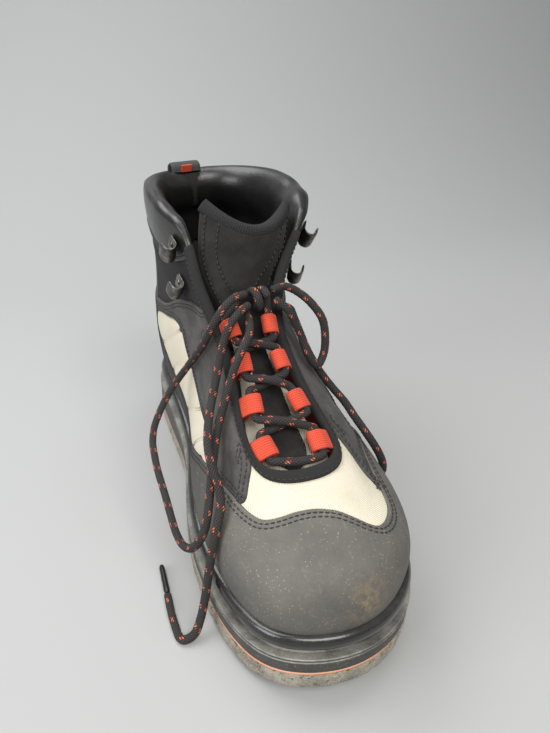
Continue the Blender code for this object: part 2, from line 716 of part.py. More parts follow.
def make_loops():
    """Eight folded webbing loops: a flat tail behind the wall and an eye over the throat."""
    finish = material("orange_webbing", (0.75, 0.10, 0.03), 0.8)
    turn = np.radians(np.linspace(-150, 150, 9))
    for side, word in ((1, "lateral"), (-1, "medial")):
        for number, station in enumerate(LOOP_STATIONS, 1):
            eye, out, up, toe = eye_frame(station, side)
            radius = EYE_RADIUS - WEBBING
            profile = [(EYE_RADIUS * math.cos(a), EYE_RADIUS * math.sin(a)) for a in turn]
            drop = EYE_DROP - TAIL_DROP
            for reach, up_share in ((TAIL_START, 1), (-TAIL_LENGTH, 1), (-TAIL_LENGTH, -1), (TAIL_START, -1)):
                profile.append((reach - EYE_REACH, drop + WEBBING * up_share))
            profile += [(radius * math.cos(a), radius * math.sin(a)) for a in turn]
            points = []
            for half in (-0.5, 0.5):
                for a, n in profile:
                    points.append(eye + up * a + out * n + toe * WEBBING_WIDTH * half)
            n, rim, hole = len(profile), 13, 13
            faces = []
            for k in (0, n):
                for i in range(8):
                    faces.append((k + i, k + i + 1, k + hole + i + 1, k + hole + i))
                faces.append((k + 8, k + 0, k + hole, k + hole + 8))
                faces.append((k + 8, k + 9, k + 12, k + 0))
                faces.append((k + 9, k + 10, k + 11, k + 12))
            for i in range(rim):
                faces.append((i, (i + 1) % rim, n + (i + 1) % rim, n + i))
            for i in range(9):
                a, b = hole + i, hole + (i + 1) % 9
                faces.append((a, b, n + b, n + a))
            solid(f"webbing_loop_{word}_{number}", points, faces, finish)


def tongue_middle():
    """Grid of points half way through the tongue, toe end first."""
    grid = []
    for station, place, lateral_in, medial_in, lateral_up, medial_up, forward, above in TONGUE_ROWS:
        ends = []
        for side, inside, lift in ((1, lateral_in, lateral_up), (-1, medial_in, medial_up)):
            _, inner, out, _, _ = wall_place(station, place, side)
            ends.append(inner + ([0, 0, lift] - out * inside) * UPPER_HEIGHT)
        g = np.array(TONGUE_SHARES)[:, None]
        row = ends[0] * (1 - g) + ends[1] * g
        row += 4 * g * (1 - g) * UPPER_HEIGHT * np.array([0, -forward, above])
        grid.append(row)
    return np.array(grid)


def make_tongue():
    """Padded tongue with a raised middle panel, and a ribbed binding along its top."""
    middle = tongue_middle()
    rows, columns = middle.shape[:2]
    g = np.array(TONGUE_SHARES)
    soft = 0.35 + 0.65 * (1 - (2 * g - 1) ** 4)
    thickness = np.tile(TONGUE_THICKNESS * soft, (rows, 1))
    thickness[0] *= 0.4
    raised = np.tile(np.array(TONGUE_RAISED) * TONGUE_OVERLAY, (rows, 1))
    raised[0] = 0
    across, down = np.gradient(middle, axis=1), np.gradient(middle, axis=0)
    normal = np.cross(across, down)
    normal /= np.linalg.norm(normal, axis=-1, keepdims=True)
    if normal[rows // 2, columns // 2, 2] < 0:
        normal = -normal
    sheet("tongue", middle + normal * (raised / 2)[..., None], thickness + raised,
          material("tongue_suede", (0.05, 0.05, 0.05), 0.9))
    along_top = np.gradient(middle[-1], axis=0)
    along_top /= np.linalg.norm(along_top, axis=1, keepdims=True)
    way = middle[-1] - middle[-2]
    way -= along_top * (way * along_top).sum(1, keepdims=True)
    way /= np.linalg.norm(way, axis=1, keepdims=True)
    route = middle[-1] + way * (TONGUE_BINDING / 2 + 2 * GAP)
    tube("tongue_binding", route, TONGUE_BINDING / 2, material("ribbed_knit", (0.02, 0.02, 0.02), 0.9))


def make_hooks():
    """Speed hooks: bent metal strips that open away from the throat."""
    finish = material("gunmetal", (0.15, 0.15, 0.16), 0.35, 1.0)
    for side, word in ((1, "lateral"), (-1, "medial")):
        for number, (station, place) in enumerate(HOOK_PLACES, 1):
            outer, _, out, up, toe = wall_place(station, place, side)
            near_s, near_t = np.meshgrid(
                (station + np.linspace(-1, 1, 5) * HOOK_SPREAD[0]) / STATIONS * side,
                place + np.linspace(-1, 1, 5) * HOOK_SPREAD[1],
            )
            wall, _ = wall_faces(near_s, near_t, np.ones(near_s.shape))
            start = outer + out * (((wall - outer) @ out).max() + HOOK_SHEET / 2 + GAP)
            grid = [
                [start + toe * a + out * n + up * HOOK_WIDTH * half for half in (-0.5, 0.5)]
                for a, n in HOOK_STRIP
            ]
            sheet(f"lace_hook_{word}_{number}", np.array(grid), HOOK_SHEET, finish)


def pull_paths():
    """Grid over the back of the collar: from its outer face up, over and down to the inner edge."""
    paths = []
    for station in PULL_STATION + np.linspace(-1, 1, 5) * PULL_HALF_WIDTH:
        s = np.full(3, station / STATIONS)
        t = np.array([PULL_FOOT, COLLAR_MIDDLE + 0.03, 1.0])
        outer, inner = wall_faces(s, t, np.ones(3))
        out = upper_out(s, t) * [1, 1, 0]
        out /= np.linalg.norm(out, axis=1, keepdims=True)
        clear = PULL_SHEET / 2 + 0.0012
        outside, inside = outer + out * clear, inner - out * clear
        top = (outside[2] + inside[2]) / 2
        side = (outside[2] - inside[2]) / 2
        rise = np.array([0, 0, PULL_RISE])
        path = [outside[0], outside[1], outside[2]]
        path += [top + side * 0.75 + rise * 0.7, top + rise, top - side * 0.75 + rise * 0.7]
        path.append(inside[2])
        paths.append(path)
    return np.array(paths).transpose(1, 0, 2)


def make_pull_loop():
    paths = pull_paths()
    sheet("pull_loop", paths, PULL_SHEET, material("dark_webbing", (0.03, 0.03, 0.03), 0.9))
    place = (paths[5, 2] + paths[6, 2]) / 2
    way = paths[5, 2] - paths[6, 2]
    way /= np.linalg.norm(way)
    away = np.cross(way, (1, 0, 0))
    away *= math.copysign(1, -away[1])
    half = TAB_WIDTH / 2
    lift = away * (PULL_SHEET / 2 + 0.0008 + GAP)
    grid = [[place + lift + way * v + np.array([u, 0, 0]) for u in (-half, half)] for v in (-0.0025, 0.0025)]
    sheet("pull_loop_tab", np.array(grid), 0.001, material("orange_tab", (0.75, 0.12, 0.03), 0.8))


def stretch(route):
    """Route points drawn in millimetres, in metres on the boot at its present size."""
    return np.array(route, float) / 1000 * [BALL_WIDTH, SOLE_LENGTH, UPPER_HEIGHT] / DRAWN_SIZE


def lace_half(first):
    """Route of one half of the lace from the lowest bar to the knot; first is the side of its first eye."""
    points = []
    side = first
    for number, station in enumerate(LOOP_STATIONS):
        eye, out, up, toe = eye_frame(station, side)
        for k in LACE_STOPS:
            points.append(eye + toe * WEBBING_WIDTH * k)
        if number + 1 < len(LOOP_STATIONS):
            other, other_out, _, _ = eye_frame(LOOP_STATIONS[number + 1], -side)
            normal = out + other_out
            normal /= np.linalg.norm(normal)
            points.append((eye + other) / 2 + normal * LACE_LIFT * first * (-1) ** number)
        side = -side
    knot = stretch(KNOT_PLACE)
    points.append(knot + [-side * 0.0070, 0.0053, 0.0000])
    return points


def make_crossings():
    """The laced part of the lace: one bar from the knot down through all eyes and back up."""
    outer, inner, out, up, _ = wall_place(0.0, 1.0, 1)
    bar = (outer + inner) / 2 + up * BAR_REACH + out * LACE / 2
    route = lace_half(1)[::-1] + [bar] + lace_half(-1)
    tube("lace_crossings", open_spline(route, 78), LACE / 2, material("braided_lace", (0.06, 0.06, 0.06), 0.8))


def cord(name, route, count, finish):
    """Round cord as a curve along the route."""
    curve = bpy.data.curves.new(name, "CURVE")
    curve.dimensions = "3D"
    curve.bevel_depth = LACE / 2
    curve.bevel_resolution = 2
    curve.use_fill_caps = True
    spline = curve.splines.new("POLY")
    places = open_spline(route, count)
    spline.points.add(len(places) - 1)
    for point, place in zip(spline.points, places):
        point.co = (*place, 1)
    return add_object(name, curve, finish)


def make_cords():
    """Knot, bow and both free ends of the lace, and the tips on the ends."""
    finish = material("lace_cord", (0.06, 0.06, 0.06), 0.8)
    knot = stretch(KNOT_PLACE)
    turn = np.linspace(-KNOT_TURNS / 2, KNOT_TURNS / 2, 25)
    coil = np.column_stack([
        turn * KNOT_PITCH, KNOT_RADIUS * np.sin(turn * 2 * np.pi), -KNOT_RADIUS * np.cos(turn * 2 * np.pi)
    ])
    cord("lace_knot", knot + coil, 14, finish)
    for name, drawn in CORD_ROUTES.items():
        route = stretch(drawn)
        length = np.linalg.norm(np.diff(route, axis=0), axis=1).sum()
        cord(name, route, round(length / CORD_SPACING) + 1, finish)
        if "end" in name:
            way = route[-1] - route[-2]
            way /= np.linalg.norm(way)
            tip = route[-1] + way * GAP + np.outer([0, TIP_LENGTH], way)
            tube(name.replace("end", "tip"), tip, TIP_DIAMETER / 2, material("lace_tip", (0.02, 0.02, 0.02), 0.4))


make_sole()
make_lip()
make_upper()
make_binding()
make_loops()
make_tongue()
make_hooks()
make_pull_loop()
make_crossings()
make_cords()
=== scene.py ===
# %% [markdown]
# # A laced wading boot
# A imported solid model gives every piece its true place. Here each piece gets the shape,
# cloth, rubber and metal that the eye expects. Lengths are in metres, the toe points to -Y,
# the outer (lateral) side to +X, and the boot stands on the floor at z = 0.

# %% Load the frame
import math

import bmesh
import bpy
import numpy as np
from mathutils import Matrix, Vector


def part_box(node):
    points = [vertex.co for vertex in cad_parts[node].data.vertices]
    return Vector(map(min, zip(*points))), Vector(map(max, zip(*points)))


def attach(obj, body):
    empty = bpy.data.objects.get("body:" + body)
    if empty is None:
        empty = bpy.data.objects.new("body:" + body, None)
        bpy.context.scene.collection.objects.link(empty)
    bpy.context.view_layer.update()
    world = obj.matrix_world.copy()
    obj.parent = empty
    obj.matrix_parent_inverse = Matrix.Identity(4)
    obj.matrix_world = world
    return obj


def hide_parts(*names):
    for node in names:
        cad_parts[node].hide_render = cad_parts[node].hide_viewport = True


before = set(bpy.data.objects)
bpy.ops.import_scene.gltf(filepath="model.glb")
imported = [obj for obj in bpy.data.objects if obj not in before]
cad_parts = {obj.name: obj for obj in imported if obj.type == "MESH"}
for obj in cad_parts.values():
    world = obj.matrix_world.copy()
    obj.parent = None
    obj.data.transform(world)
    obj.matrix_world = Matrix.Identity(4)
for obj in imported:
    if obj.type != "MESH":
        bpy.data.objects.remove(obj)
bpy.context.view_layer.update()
mm = 0.001
print("solids:", len(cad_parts))

# %% [markdown]
# The photograph was taken from above the toe, close to the boot with a wide lens. Close and
# wide makes the toe look large and the shaft small, so the camera's place matters more than
# its zoom. Its three angles are written as a sailor would say them: yaw, pitch and roll.

# %% Camera
CAMERA_PLACE = Vector((-0.1069, -0.2746, 0.2715))
YAW, PITCH, ROLL = math.radians(9.54), math.radians(29.58), math.radians(-4.49)
PICTURE = (550, 733)
FOCAL_PIXELS = 512.1
BOOT_MIDDLE_PIXEL = 389

look = Vector((math.sin(YAW) * math.cos(PITCH), math.cos(YAW) * math.cos(PITCH), -math.sin(PITCH)))
level = Vector((math.cos(YAW), -math.sin(YAW), 0))
above = level.cross(look)
right = math.cos(ROLL) * level + math.sin(ROLL) * above
up = right.cross(look)
camera_data = bpy.data.cameras.new("camera")
camera_data.sensor_fit = "VERTICAL"
camera_data.sensor_height = 24
camera_data.lens = 24 * FOCAL_PIXELS / PICTURE[1]
camera_data.shift_x = (BOOT_MIDDLE_PIXEL - PICTURE[0] / 2) / PICTURE[1]
camera_data.clip_start = 0.01
camera = bpy.data.objects.new("camera", camera_data)
camera.matrix_world = Matrix.Translation(CAMERA_PLACE) @ Matrix((right, up, -look)).transposed().to_4x4()
bpy.context.scene.collection.objects.link(camera)
bpy.context.scene.camera = camera
print("lens:", round(camera_data.lens, 2), "mm on a 24 mm high sensor")

# %% [markdown]
# Colours are written as in a paint program, in hex, and turned to the linear values that the
# renderer adds up. One small function adds a shader node with its settings and links.

# %% Colour and node helpers
def linear(code):
    """An sRGB hex colour as linear red, green, blue and alpha."""
    parts = [int(code[k : k + 2], 16) / 255 for k in (0, 2, 4)]
    return [p / 12.92 if p <= 0.04045 else ((p + 0.055) / 1.055) ** 2.4 for p in parts] + [1.0]


def add(tree, kind, *sources, out=0, to=None, **settings):
    """Adds one node and returns one of its outputs. Sources feed its sockets in their order,
    settings its properties or its sockets by name; hex colours are turned to linear values."""
    made = tree.nodes.new(kind if kind.startswith(("Geometry", "Function")) else "ShaderNode" + kind)
    named = {key.replace("_", " "): value for key, value in settings.items() if not hasattr(made, key)}
    for key in settings.keys() - {name.replace(" ", "_") for name in named}:
        setattr(made, key, settings[key])
    shown = [socket for socket in made.inputs if socket.enabled]
    for socket, value in [*zip(shown, sources),
                          *((made.inputs[key], value) for key, value in named.items())]:
        if isinstance(value, bpy.types.NodeSocket):
            tree.links.new(value, socket)
        else:
            in_hex = socket.type == "RGBA" and isinstance(value, str)
            socket.default_value = linear(value) if in_hex else value
    result = made.outputs[out] if isinstance(out, str) else [k for k in made.outputs if k.enabled][out]
    if to is not None:
        tree.links.new(result, to)
    return result


def finish_named(name, **values):
    """A new material; values are set on its Principled shader. Returns material, tree, shader's sockets."""
    made = bpy.data.materials.new(name)
    made.use_nodes = True
    sockets = made.node_tree.nodes["Principled BSDF"].inputs
    for key, value in values.items():
        sockets[key.replace("_", " ")].default_value = linear(value) if isinstance(value, str) else value
    return made, made.node_tree, sockets


print("black, mid grey and white:", [round(linear(code)[0], 3) for code in ("000000", "808080", "FFFFFF")])

# %% [markdown]
# The boot's surface is one function. Around the boot runs a station number: 0 at the toe,
# +11 and -11 both at the heel, positive on the lateral side. Up the boot runs a place from 0
# at the sole to 1 at the opening's edge. Tables give points in shares of the main
# sizes, and smooth curves join them. Every panel, seam and stitch is then drawn in these two
# numbers, as a pattern cutter draws on the last.

# %% Main sizes and tables
SOLE_LENGTH, BALL_WIDTH, UPPER_HEIGHT = 0.305, 0.120, 0.166
FELT, STRIP = 0.010, 0.0015
MIDSOLE_FOREFOOT, MIDSOLE_HEEL = 0.016, 0.029
GROOVE_HEIGHT = 0.0055
TOE_SPRING, ARCH_RISE, HEEL_BEVEL = 0.010, 0.003, 0.0025
FEATHER_INSET, LOW_WALL_HEIGHT, LOW_WALL_BULGE = 0.0075, 0.016, 0.002
LIP_HEIGHT, LIP_THICKNESS = 0.008, 0.0045
WALL, OVERLAY, COLLAR_PAD, COLLAR_SWELL = 0.0022, 0.0011, 0.0085, 0.0025
GAP = 0.0003
STATIONS = 22
SOLE_ROWS = (
    (1.000, -0.17, -0.17), (0.972, 0.34, -0.66), (0.899, 0.75, -0.90),
    (0.799, 0.96, -0.995), (0.686, 1.00, -1.00), (0.569, 0.985, -0.90),
    (0.450, 0.89, -0.76), (0.330, 0.80, -0.73), (0.220, 0.75, -0.73),
    (0.116, 0.70, -0.70), (0.038, 0.48, -0.50), (0.000, -0.015, -0.015),
)
SHOULDER_ROWS = (
    (0.951, -0.14, -0.14, 0.229), (0.934, 0.27, -0.50, 0.229), (0.882, 0.59, -0.74, 0.217),
    (0.793, 0.79, -0.86, 0.217), (0.685, 0.86, -0.88, 0.226), (0.570, 0.83, -0.78, 0.247),
    (0.456, 0.74, -0.68, 0.265), (0.344, 0.69, -0.70, 0.283), (0.233, 0.67, -0.71, 0.304),
    (0.125, 0.63, -0.67, 0.328), (0.049, 0.43, -0.46, 0.346), (0.020, 0.00, 0.00, 0.349),
)
CROWN_ROWS = (
    (0.892, -0.13, -0.13, 0.292), (0.880, 0.19, -0.43, 0.288), (0.842, 0.44, -0.62, 0.282),
    (0.770, 0.57, -0.72, 0.302), (0.675, 0.64, -0.73, 0.343), (0.580, 0.64, -0.68, 0.386),
    (0.485, 0.60, -0.62, 0.437), (0.384, 0.57, -0.68, 0.488), (0.282, 0.65, -0.71, 0.542),
    (0.170, 0.61, -0.68, 0.584), (0.075, 0.41, -0.46, 0.608), (0.039, 0.01, 0.01, 0.614),
)
INSTEP_ROWS = (
    (0.840, -0.12, -0.12, 0.336), (0.828, 0.20, -0.42, 0.334), (0.789, 0.38, -0.58, 0.350),
    (0.722, 0.41, -0.63, 0.396), (0.645, 0.40, -0.61, 0.462), (0.563, 0.37, -0.57, 0.540),
    (0.482, 0.38, -0.56, 0.633), (0.407, 0.50, -0.65, 0.717), (0.311, 0.69, -0.73, 0.765),
    (0.190, 0.67, -0.71, 0.801), (0.095, 0.42, -0.51, 0.819), (0.062, -0.03, -0.03, 0.825),
)
EDGE_ROWS = (
    (0.793, -0.10, -0.10, 0.370), (0.778, 0.21, -0.40, 0.378), (0.735, 0.27, -0.50, 0.420),
    (0.676, 0.18, -0.49, 0.500), (0.614, 0.12, -0.46, 0.592), (0.555, 0.12, -0.49, 0.690),
    (0.503, 0.28, -0.60, 0.820), (0.449, 0.60, -0.66, 0.952), (0.351, 0.80, -0.78, 0.982),
    (0.213, 0.79, -0.77, 0.994), (0.108, 0.45, -0.56, 1.000), (0.075, -0.08, -0.08, 1.000),
)
LINE_PLACES = (0.0, 0.11, 0.33, 0.56, 0.78, 1.0)
print("rows per line:", len(SOLE_ROWS))

# %% [markdown]
# A closed spline runs round each table's points, and a second spline runs up through the six
# lines. The sole's layers are plain sums: each one starts where the one below it ends.

# %% Curves through the tables
def ring(rows):
    """Stations round a closed line, toe to lateral to heel to medial: side, along, rest."""
    lateral = [(row[1], row[0], *row[3:]) for row in rows]
    medial = [(row[2], row[0], *row[3:]) for row in rows[-2:0:-1]]
    return np.array(lateral + medial, float)


def closed_spline(points, s):
    """Smooth closed curve through the points, at shares s of the way round."""
    p = np.asarray(points, float)
    count = len(p)
    one = np.eye(count)
    system = 4 * one + np.roll(one, 1, 1) + np.roll(one, -1, 1)
    bend = np.linalg.solve(system, 6 * (np.roll(p, -1, 0) - 2 * p + np.roll(p, 1, 0)))
    u = (np.asarray(s, float) % 1.0) * count
    i = np.floor(u).astype(int) % count
    f = (u - np.floor(u))[..., None]
    j = (i + 1) % count
    g = 1 - f
    return g * p[i] + f * p[j] + ((g**3 - g) * bend[i] + (f**3 - f) * bend[j]) / 6


def ramp(x, start, end):
    """0 before start, 1 after end, smooth between."""
    u = np.clip((x - start) / (end - start), 0, 1)
    return u * u * (3 - 2 * u)


def along(y):
    """Share of the sole's length from the heel at a place y."""
    return 0.5 - y / SOLE_LENGTH


def toe_spring(y):
    return TOE_SPRING * (np.clip(along(y) - 0.80, 0, None) / 0.20) ** 2


def felt_bottom(y):
    """Underside of the felt: flat under the forefoot and the heel, raised between and at both ends."""
    arch = ARCH_RISE * np.sin(np.pi * np.clip((along(y) - 0.30) / 0.26, 0, 1)) ** 2
    heel = HEEL_BEVEL * (np.clip(0.05 - along(y), 0, None) / 0.05) ** 2
    return toe_spring(y) + arch + heel


def strip_bottom(y):
    return felt_bottom(y) + FELT + GAP


def midsole_bottom(y):
    return strip_bottom(y) + STRIP + GAP


def sole_top(y):
    """Top of the midsole, which the upper and the insole stand on."""
    heel_share = 1 - ramp(along(y), 0.22, 0.62)
    thickness = MIDSOLE_FOREFOOT + (MIDSOLE_HEEL - MIDSOLE_FOREFOOT) * heel_share
    return toe_spring(y) + FELT + STRIP + 2 * GAP + thickness


def place_rows(rows):
    """Table rows as points: x, y and, where the table has it, height above the sole's top."""
    points = ring(rows)
    points[:, 0] *= BALL_WIDTH / 2
    points[:, 1] = (0.5 - points[:, 1]) * SOLE_LENGTH
    points[:, 2:] *= UPPER_HEIGHT
    return points


def outline(s, inset=0.0):
    """The sole's outline moved inwards, as x and y."""
    points, s = place_rows(SOLE_ROWS), np.asarray(s, float)
    step = 1e-4
    way = closed_spline(points, s + step) - closed_spline(points, s - step)
    way /= np.linalg.norm(way, axis=-1, keepdims=True)
    return closed_spline(points, s) - inset * np.stack([way[..., 1], -way[..., 0]], -1)


print("sole top at heel and ball:", [round(float(sole_top(y) / mm), 1) for y in (0.15, -0.06)], "mm")

# %% [markdown]
# The upper's outer face is one smooth sheet through six lines, from the sole to the collar.
# The padded collar's share of it is worked out apart, so that its bead can be thickened.

# %% Outer face of the upper
def upper_lines(s):
    """The upper's six lines at stations s, bottom to top."""
    lines = []
    for inset, height in ((FEATHER_INSET, 0.0), (FEATHER_INSET - LOW_WALL_BULGE, LOW_WALL_HEIGHT)):
        plan = outline(s, inset)
        lines.append(np.concatenate([plan, sole_top(plan[..., 1:]) + GAP + height], -1))
    for rows in (SHOULDER_ROWS, CROWN_ROWS, INSTEP_ROWS, EDGE_ROWS):
        line = closed_spline(place_rows(rows), s)
        line[..., 2] += sole_top(line[..., 1]) + GAP
        lines.append(line)
    return np.array(lines)


def line_bends():
    """How each line's place bends the natural spline that runs up the upper."""
    places = np.array(LINE_PLACES)
    span = np.diff(places)
    system, load = np.eye(len(places)), np.zeros((len(places), len(places)))
    for i in range(1, len(places) - 1):
        before, after = span[i - 1], span[i]
        system[i, i - 1 : i + 2] = before, 2 * (before + after), after
        load[i, i - 1 : i + 2] = 6 / before, -6 / before - 6 / after, 6 / after
    return np.linalg.solve(system, load)


def line_weights(t):
    """What each of the six lines adds to a point t of the way up."""
    places, bends = np.array(LINE_PLACES), line_bends()
    t = np.clip(np.asarray(t, float), 0, 1)
    i = np.clip(np.searchsorted(places, t, side="right") - 1, 0, len(places) - 2)
    span = places[i + 1] - places[i]
    f = (t - places[i]) / span
    g = 1 - f
    weights = np.zeros(t.shape + (len(places),))
    np.put_along_axis(weights, i[..., None], g[..., None], -1)
    np.put_along_axis(weights, i[..., None] + 1, f[..., None], -1)
    scale = (span * span / 6)[..., None]
    weights += (g**3 - g)[..., None] * bends[i] * scale
    return weights + (f**3 - f)[..., None] * bends[i + 1] * scale


def upper_face(s, t):
    """The upper's surface: s is the share of the way round, t the share of the way up."""
    s, t = np.broadcast_arrays(np.asarray(s, float), np.asarray(t, float))
    return np.einsum("...l,l...c->...c", line_weights(t), upper_lines(s))


def upper_out(s, t):
    """Outward direction of the upper's surface."""
    step = 1e-3
    low, high = np.maximum(np.asarray(t) - step, 0), np.minimum(np.asarray(t) + step, 1)
    around = upper_face(np.asarray(s) + step, t) - upper_face(np.asarray(s) - step, t)
    up = upper_face(s, high) - upper_face(s, low)
    out = np.cross(around, up)
    return out / np.linalg.norm(out, axis=-1, keepdims=True)


# Padded collar: from the front corner on one side round the heel to the other
COLLAR_STATIONS = (6.6, 7.8)
COLLAR_FOOT, COLLAR_MIDDLE, COLLAR_END = 0.78, 0.905, 1.006


def collar_share(s, t):
    """How much of the collar's padding there is: a half round bead that starts behind the throat."""
    side = np.minimum(np.asarray(s) % 1.0, 1 - np.asarray(s) % 1.0) * STATIONS
    reach = np.where(t > COLLAR_MIDDLE, COLLAR_END - COLLAR_MIDDLE, COLLAR_MIDDLE - COLLAR_FOOT)
    bead = np.sqrt(np.clip(1 - ((t - COLLAR_MIDDLE) / reach) ** 2, 0, 1))
    return ramp(side, *COLLAR_STATIONS) * bead


print("collar padding at the heel:", float(collar_share(0.5, COLLAR_MIDDLE)), "of its full depth")

# %% [markdown]
# A worn boot isn't as smooth as its last. Soft troughs and ridges, drawn in the
# boot's own stations, show where it bends: across the vamp, behind the ball and round the
# ankle. Every layer of the upper follows the same folds, so nothing pulls apart.

# %% Folds and the skin
# Columns: station and place of the fold's start, of its end, depth (troughs negative) and half width, in mm
FOLDS = (
    (2.9, 0.50, 3.3, 0.80, -0.9, 4.0),
    (-2.9, 0.62, -3.2, 0.86, -0.8, 4.0),
    (3.9, 0.42, 4.5, 0.62, -0.8, 5.0),
    (-4.1, 0.30, -4.4, 0.44, -0.9, 5.0),
    (5.6, 0.66, 8.2, 0.60, -1.2, 6.0),
    (-5.6, 0.66, -8.2, 0.60, -1.2, 6.0),
    (8.3, 0.56, 10.6, 0.66, -1.1, 7.0),
    (-8.3, 0.56, -10.6, 0.66, -1.1, 7.0),
    (7.6, 0.74, 9.8, 0.72, 0.8, 6.0),
    (-7.6, 0.74, -9.8, 0.72, 0.8, 6.0),
    (-1.2, 0.30, 1.5, 0.34, 0.5, 14.0),
    (1.9, 0.20, 2.6, 0.34, -0.5, 8.0),
)
# A typical length of one station and of the whole way up, to measure the folds with
STATION_LENGTH, WAY_UP = 0.0345, 0.140


def folds(station, place):
    """How far the skin is pushed out at a station and place, in metres."""
    total = np.zeros(np.broadcast(station, place).shape)
    for s0, t0, s1, t1, depth, half in FOLDS:
        x, y = (station - s0) * STATION_LENGTH, (place - t0) * WAY_UP
        dx, dy = (s1 - s0) * STATION_LENGTH, (t1 - t0) * WAY_UP
        share = np.clip((x * dx + y * dy) / (dx * dx + dy * dy), 0, 1)
        away = np.hypot(x - share * dx, y - share * dy) / (half * mm)
        fading = 0.35 + 0.65 * np.sin(np.pi * np.clip(share, 0.08, 0.92))
        total += depth * mm * np.exp(-away * away) * fading
    return total * ramp(place, 0.05, 0.2) * (1 - ramp(place, 0.9, 0.99))


def skin(station, place, height=0.0, inside=False):
    """Point of the upper at a station and place, raised by height; inside is the lining's face."""
    station, place = np.broadcast_arrays(np.asarray(station, float), np.clip(place, 0.0, 1.0))
    s = station / STATIONS
    face, out = upper_face(s, place), upper_out(s, place)
    flat = out * [1, 1, 0]
    flat /= np.linalg.norm(flat, axis=-1, keepdims=True)
    out = flat + (out - flat) * ramp(place, 0.0, 0.06)[..., None]
    out /= np.linalg.norm(out, axis=-1, keepdims=True)
    pad = collar_share(s, place)
    push = -(WALL + COLLAR_PAD * pad) if inside else COLLAR_SWELL * pad + folds(station, place)
    point = face + out * (push + height)[..., None]
    foot = place <= 0
    point[foot, 2] = sole_top(point[foot, 1]) + GAP
    return point


def skin_out(station, place):
    return upper_out(np.asarray(station, float) / STATIONS, np.clip(place, 0.0, 1.0))


print("collar above the sole:", round(float(skin(11.0, 1.0)[2] / mm), 1), "mm")

# %% [markdown]
# Most pieces are cloth, webbing or rubber of an even thickness that follows a grid of points.
# A few helpers turn such a grid into a closed mesh. They also lay a UV map in millimetres on
# it, so that a weave keeps its true size and runs along the piece.

# %% Mesh helpers
def lay(rows, columns, wrap_rows=False, wrap_columns=False):
    """Quads of a grid, and the row and column of each corner with a wrap counted on."""
    r, c = np.meshgrid(
        np.arange(rows if wrap_rows else rows - 1),
        np.arange(columns if wrap_columns else columns - 1), indexing="ij",
    )
    r = np.stack([r, r, r + 1, r + 1], -1).reshape(-1, 4)
    c = np.stack([c, c + 1, c + 1, c], -1).reshape(-1, 4)
    return (r % rows) * columns + c % columns, r, c


def piece(name, points, faces, finishes, corner_uv=None, slots=None, sharp=None):
    """A closed mesh object, faces outwards, that rides on the boot."""
    mesh = bpy.data.meshes.new(name)
    mesh.from_pydata(np.asarray(points).reshape(-1, 3).tolist(), [], [list(f) for f in faces])
    if corner_uv is not None:
        mesh.uv_layers.new(name="cloth").data.foreach_set("uv", np.asarray(corner_uv, np.float32).ravel())
    for finish in finishes:
        mesh.materials.append(finish)
    if slots is not None:
        mesh.polygons.foreach_set("material_index", np.asarray(slots, np.int32))
    work = bmesh.new()
    work.from_mesh(mesh)
    bmesh.ops.remove_doubles(work, verts=work.verts, dist=1e-6)
    bmesh.ops.recalc_face_normals(work, faces=work.faces)
    work.to_mesh(mesh)
    work.free()
    mesh.shade_smooth()
    if sharp is not None:
        mesh.set_sharp_from_angle(angle=math.radians(sharp))
    made = bpy.data.objects.new(name, mesh)
    bpy.context.scene.collection.objects.link(made)
    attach(made, "root")
    return made


def unit(vectors):
    """The same directions, each one metre long."""
    return vectors / np.linalg.norm(vectors, axis=-1, keepdims=True)


def lengths(points, axis):
    """Length along a grid's lines from their first point, in metres."""
    away = np.linalg.norm(np.diff(points, axis=axis), axis=-1)
    return np.concatenate([np.zeros_like(np.take(away, [0], axis)), np.cumsum(away, axis)], axis)


def grid_uv(points, r, c):
    """UV in millimetres at each face corner: u along the columns, v along the rows."""
    r, c = np.minimum(r, points.shape[0] - 1), np.minimum(c, points.shape[1] - 1)
    return np.stack([lengths(points, 1).mean(0)[c] / mm, lengths(points, 0)[r, c] / mm], -1)


def slab(name, outer, inner, finish, **options):
    """A closed sheet between two grids of points."""
    rows, columns = outer.shape[:2]
    faces, r, c = lay(rows, columns)
    back = rows * columns
    rim = list(range(columns)) + [k * columns + columns - 1 for k in range(1, rows)]
    rim += [(rows - 1) * columns + k for k in range(columns - 2, -1, -1)]
    rim += [k * columns for k in range(rows - 2, 0, -1)]
    edge = np.array([(a, b, b + back, a + back) for a, b in zip(rim, rim[1:] + rim[:1])])
    uv = grid_uv(outer, r, c)
    at = grid_uv(outer, edge[:, [0, 1, 1, 0]] // columns, edge[:, [0, 1, 1, 0]] % columns)
    return piece(
        name, np.concatenate([outer.reshape(-1, 3), inner.reshape(-1, 3)]),
        np.concatenate([faces, faces[:, ::-1] + back, edge[:, ::-1]]), [finish],
        np.concatenate([uv, uv[:, ::-1], at[:, ::-1]]), **options,
    )


print("a grid of 3 by 4 points has", len(lay(3, 4)[0]), "faces")

# %% [markdown]
# Routes are smooth lines through a few given points, evenly spaced along their length.
# A tube can be drawn along each.

# %% Lines and tubes
def read_rows(at, where, rows):
    """A table's columns read at any values between those of its own rows."""
    return np.column_stack([np.interp(at, where, column) for column in np.asarray(rows).T])


def rounded(away, radius):
    """Height of an edge's quarter round, 0 at the edge and 1 a radius away from it."""
    return np.sqrt(np.clip(1 - (1 - np.clip(away / radius, 0, 1)) ** 2, 0, 1))


